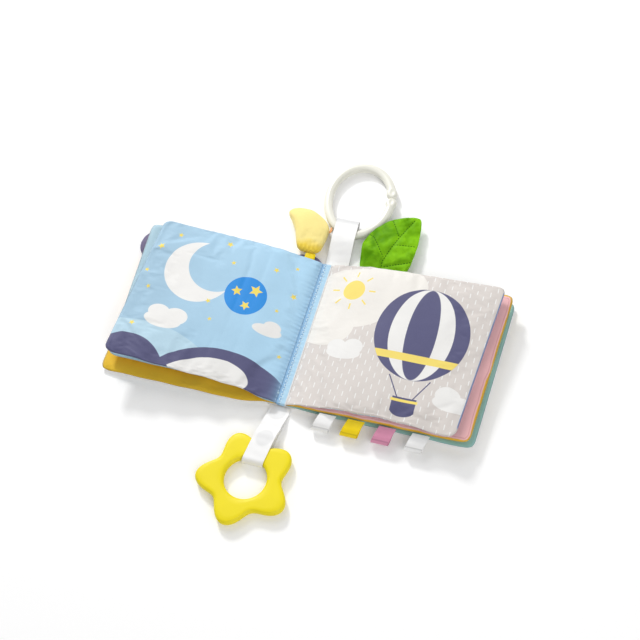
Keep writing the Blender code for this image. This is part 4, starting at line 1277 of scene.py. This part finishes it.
def ribbon(node, seat, path, width, lean, look, slot_name, ripple):
    """A woven ribbon folded into a loop, with its two thicker woven edges."""
    facing = math.copysign(1.0, seat[1])
    travel = [path_length(path[:k + 1]) for k in range(len(path))]
    across = 2.0 * np.arange(RIBBON_COLUMNS + 1) / RIBBON_COLUMNS - 1.0
    thick = 0.5 * RIBBON_THICKNESS * np.where(np.abs(across) > 0.85, 1.0, 0.8)
    sheets = []
    for sign in (-1.0, 1.0):
        sheet = []
        for k, (y, z) in enumerate(path):
            run = Vector(path[min(k + 1, len(path) - 1)]) - Vector(path[max(k - 1, 0)])
            run.normalize()
            wave = ripple * np.sin(0.9 * travel[k] + 2.0 * across) * (1.0 - np.abs(across))
            wave *= smooth_step(y / 9.0)
            line = np.zeros((RIBBON_COLUMNS + 1, 3))
            line[:, 0] = seat[0] + 0.5 * width * across - y * math.tan(math.radians(lean))
            line[:, 1] = seat[1] + facing * (y - sign * thick * run.y)
            line[:, 2] = seat[2] + z + (sign * thick + wave) * run.x
            sheet.append(line * MM)
        sheets.append(sheet)

    def page_place(place, row, column):
        return width * (column / RIBBON_COLUMNS - 0.5) / PAGE_MM, travel[row] / PAGE_MM

    obj = shell(node + "_ribbon", sheets, page_place)
    obj.data.set_sharp_from_angle(angle=math.radians(50.0))
    dress(obj, look, node, slot_name, node)
    width * MM


def ribbons():
    """The two straps and the four tags."""
    ribbon("carrier_strap", (6.2, 61.35, STRAP_SEAT_Z), strap_path(42.4, 6.9, 26.6), 17.6, 2.0,
           satin("carrier_strap_satin", SATIN_WHITE, turn=46.0), "white_satin", 0.08)
    ribbon("teether_strap", (0.2, -61.35, STRAP_SEAT_Z), strap_path(48.0, 6.6, 34.2, 1.0), 15.0, 6.9,
           satin("teether_strap_satin", SATIN_WHITE, mark=72.0), "white_satin", 0.10)
    fold = path_length(tag_path()) / 2.0 + TAG_LIP
    white = satin("white_satin", SATIN_WHITE, fold=fold)
    looks = {
        "tag_white_inner": (white, "white_satin"),
        "tag_white_outer": (white, "white_satin"),
        "tag_yellow": (satin("yellow_satin", RIBBON_YELLOW, fold=fold), "yellow_satin"),
        "tag_mauve": (satin("mauve_satin", RIBBON_MAUVE, fold=fold), "mauve_satin"),
    }
    for node, x, z in TAG_SEATS:
        ribbon(node, (x, TAG_SEAT_Y, z), tag_path(), TAG_WIDTH, TAG_LEAN, *looks[node], 0.05)


# Stem, tab, ring and teether: finer copies of the CAD solids


def fine_copy(node, name, crease=None, bend=60.0):
    """A smoother mesh of a CAD solid, with its triangles joined back into quads."""
    editor = bmesh.new()
    editor.from_mesh(frame["nodes"][node].data)
    bmesh.ops.remove_doubles(editor, verts=editor.verts, dist=0.001 * MM)
    bmesh.ops.join_triangles(editor, faces=editor.faces, angle_face_threshold=math.radians(40.0),
                             angle_shape_threshold=math.radians(60.0))
    if crease is not None:
        layer = editor.edges.layers.float.new("crease_edge")
        for edge in editor.edges:
            if len(edge.link_faces) == 2 and edge.calc_face_angle() > math.radians(bend):
                edge[layer] = crease
    obj = to_object(editor, name)
    subdivide(obj, 2)
    return obj


def hard_parts():
    """The carrier ring and the flower teether."""
    ring = plastic("ivory_plastic", IVORY, 0.34, 500.0, 0.04 * MM)
    silicone = plastic("yellow_silicone", FLOWER_YELLOW, 0.5, 700.0, 0.06 * MM, 0.05)
    for node, look, slot_name, crease in (
        ("carrier_ring", ring, "ring_plastic", None),
        ("flower_teether", silicone, "flower_silicone", 0.45),
    ):
        obj = fine_copy(node, node + "_moulded", crease, 28.0)
        dress(obj, look, node, slot_name, node)


def charm_trim():
    """The charm's ribbon stem and its felt tab."""
    for node, look, slot_name in (
        ("charm_stem", satin("stem_satin", RIBBON_YELLOW), "yellow_satin"),
        ("charm_tab", plain_cloth("orange_felt", ORANGE, 0.85), "orange_felt"),
    ):
        obj = fine_copy(node, node + "_cloth", 0.8)
        page = obj.data.uv_layers.new(name="page")
        for loop in obj.data.loops:
            page.data[loop.index].uv = plan_page(obj.data.vertices[loop.vertex_index].co)
        dress(obj, look, "charm", slot_name, node)


# Spine


def strip(name, half_width, end, bottom, top, columns, rows):
    """A long closed strip whose lower and upper faces follow two functions of place, all in millimetres."""
    across = half_width * (2.0 * np.arange(columns + 1) / columns - 1.0)
    along = end * (2.0 * np.arange(rows + 1) / rows - 1.0)
    sheets = [
        [[(x * MM, y * MM, height(x, y) * MM) for y in along] for x in across]
        for height in (bottom, top)
    ]
    return shell(name, sheets, lambda place, i, j: plan_page(place))


def tube(name, path, radius):
    """A thread along a path of points."""
    editor = bmesh.new()
    rings = []
    for k, point in enumerate(path):
        run = (Vector(path[min(k + 1, len(path) - 1)]) - Vector(path[max(k - 1, 0)])).normalized()
        across = run.cross(Vector((0.0, 0.0, 1.0))).normalized()
        up = across.cross(run)
        turns = [2.0 * math.pi * side / THREAD_SIDES for side in range(THREAD_SIDES)]
        places = [Vector(point) + radius * (math.cos(t) * across + math.sin(t) * up) for t in turns]
        rings.append([editor.verts.new(place) for place in places])
    for first, second in zip(rings, rings[1:]):
        for side in range(THREAD_SIDES):
            after = (side + 1) % THREAD_SIDES
            editor.faces.new((first[side], first[after], second[after], second[side]))
    editor.faces.new(rings[0][::-1])
    editor.faces.new(rings[-1])
    bmesh.ops.recalc_face_normals(editor, faces=editor.faces)
    return to_object(editor, name)


def cover_bottom(x, y):
    return 0.06


def cover_top(x, y):
    return 1.15 - 0.35 * (abs(x) / COVER_HALF) ** 4


def binding_bottom(x, y):
    return 1.55 + 1.9 * (abs(x) / BINDING_HALF) ** 4


def binding_top(x, y):
    """Height of the binding over the sewn leaf margins, in millimetres."""
    share = abs(x) / BINDING_HALF
    ripple = math.sin(2.0 * math.pi * y / BINDING_RIPPLE_PITCH + 0.8 * math.sin(0.31 * y))
    return 4.30 - 0.20 * share ** 4 + BINDING_RIPPLE * ripple * (1.0 - 0.4 * share)


def spine():
    """The cover cloth under the spine, the binding between the pages and its zigzag stitches."""
    cover = strip("spine_cover_cloth", COVER_HALF, COVER_END, cover_bottom, cover_top, 12, 60)
    dress(cover, plain_cloth("spine_cover_cloth", CREAM), SPINE_BODY, "cover_cloth", "cover_spine_panel")
    binding = strip("spine_binding_cloth", BINDING_HALF, BINDING_END, binding_bottom, binding_top, 14, 150)
    dress(binding, binding_cloth(), SPINE_BODY, "binding", "spine_binding")
    path = []
    for k in range(ZIGZAG_TEETH + 1):
        y = ZIGZAG_END * (2.0 * k / ZIGZAG_TEETH - 1.0)
        for x in ZIGZAG_SIDES if k % 2 == 0 else ZIGZAG_SIDES[::-1]:
            path.append((x * MM, y * MM, (binding_top(x, y) + 0.02) * MM))
    thread = tube("spine_zigzag", path, THREAD_RADIUS * MM)
    stitch_look = plain_cloth("binding_thread", THREAD_BLUE, 0.5)
    dress(thread, stitch_look, SPINE_BODY, "stitching", "spine_stitch_ridge")


# Camera, light and floor


def camera():
    """The camera, where the photograph was taken from."""
    elevation, azimuth, roll = (math.radians(v) for v in (CAMERA_ELEVATION, CAMERA_AZIMUTH, CAMERA_ROLL))
    level = math.cos(elevation)
    back = Vector((math.sin(azimuth) * level, -math.cos(azimuth) * level, math.sin(elevation)))
    right = (-back).cross(Vector((0.0, 0.0, 1.0))).normalized()
    up = right.cross(-back)
    turned_right = right * math.cos(roll) + up * math.sin(roll)
    turned_up = up * math.cos(roll) - right * math.sin(roll)
    data = bpy.data.cameras.new("camera")
    data.sensor_width = SENSOR_WIDTH
    data.lens = FOCAL_PIXELS / PHOTO_PIXELS * SENSOR_WIDTH
    data.clip_start = 0.01
    placed = Matrix((turned_right, turned_up, back)).transposed().to_4x4()
    placed.translation = Vector(CAMERA_TARGET) + back * CAMERA_DISTANCE
    obj = link(bpy.data.objects.new("camera", data))
    obj.matrix_world = placed
    bpy.context.scene.camera = obj


def lamps():
    """Round lamps that all point at the middle of the book."""
    for name, place, size, power in LAMPS:
        data = bpy.data.lights.new(name, "AREA")
        data.shape = "DISK"
        data.size = size
        data.energy = power
        obj = link(bpy.data.objects.new(name, data))
        obj.location = place
        obj.rotation_euler = (-Vector(place)).to_track_quat("-Z", "Y").to_euler()


def world():
    """Even white light from all round, which itself shows as plain white."""
    made = bpy.data.worlds.new("studio")
    made.use_nodes = True
    nodes = Nodes(made.node_tree)
    background = nodes.nodes["Background"]
    nodes.put(background.inputs["Color"], WHITE)
    nodes.put(background.inputs["Strength"], nodes.seen_directly() * (1.0 - WORLD_STRENGTH) + WORLD_STRENGTH)
    bpy.context.scene.world = made


def floor():
    """A white floor that shows white itself and keeps the object's soft shadow."""
    mesh = bpy.data.meshes.new("floor")
    corners = [(-FLOOR_HALF, -FLOOR_HALF, 0.0), (FLOOR_HALF, -FLOOR_HALF, 0.0)]
    corners += [(FLOOR_HALF, FLOOR_HALF, 0.0), (-FLOOR_HALF, FLOOR_HALF, 0.0)]
    mesh.from_pydata(corners, [], [(0, 1, 2, 3)])
    obj = link(bpy.data.objects.new("floor", mesh))
    obj.location.z = FLOOR_Z
    look = Look("floor_white", FLOOR_WHITE, FLOOR_ROUGHNESS)
    look.set_shader({
        "Base Color": linear(FLOOR_WHITE),
        "Emission Color": WHITE,
        "Emission Strength": look.seen_directly() * FLOOR_GLOW,
    })
    mesh.materials.append(look.material)


leaves()
spine()
ribbons()
hard_parts()
leaf_flap()
charm()
charm_trim()
ears()
camera()
lamps()
world()
floor()
bpy.context.scene.view_settings.view_transform = "Standard"
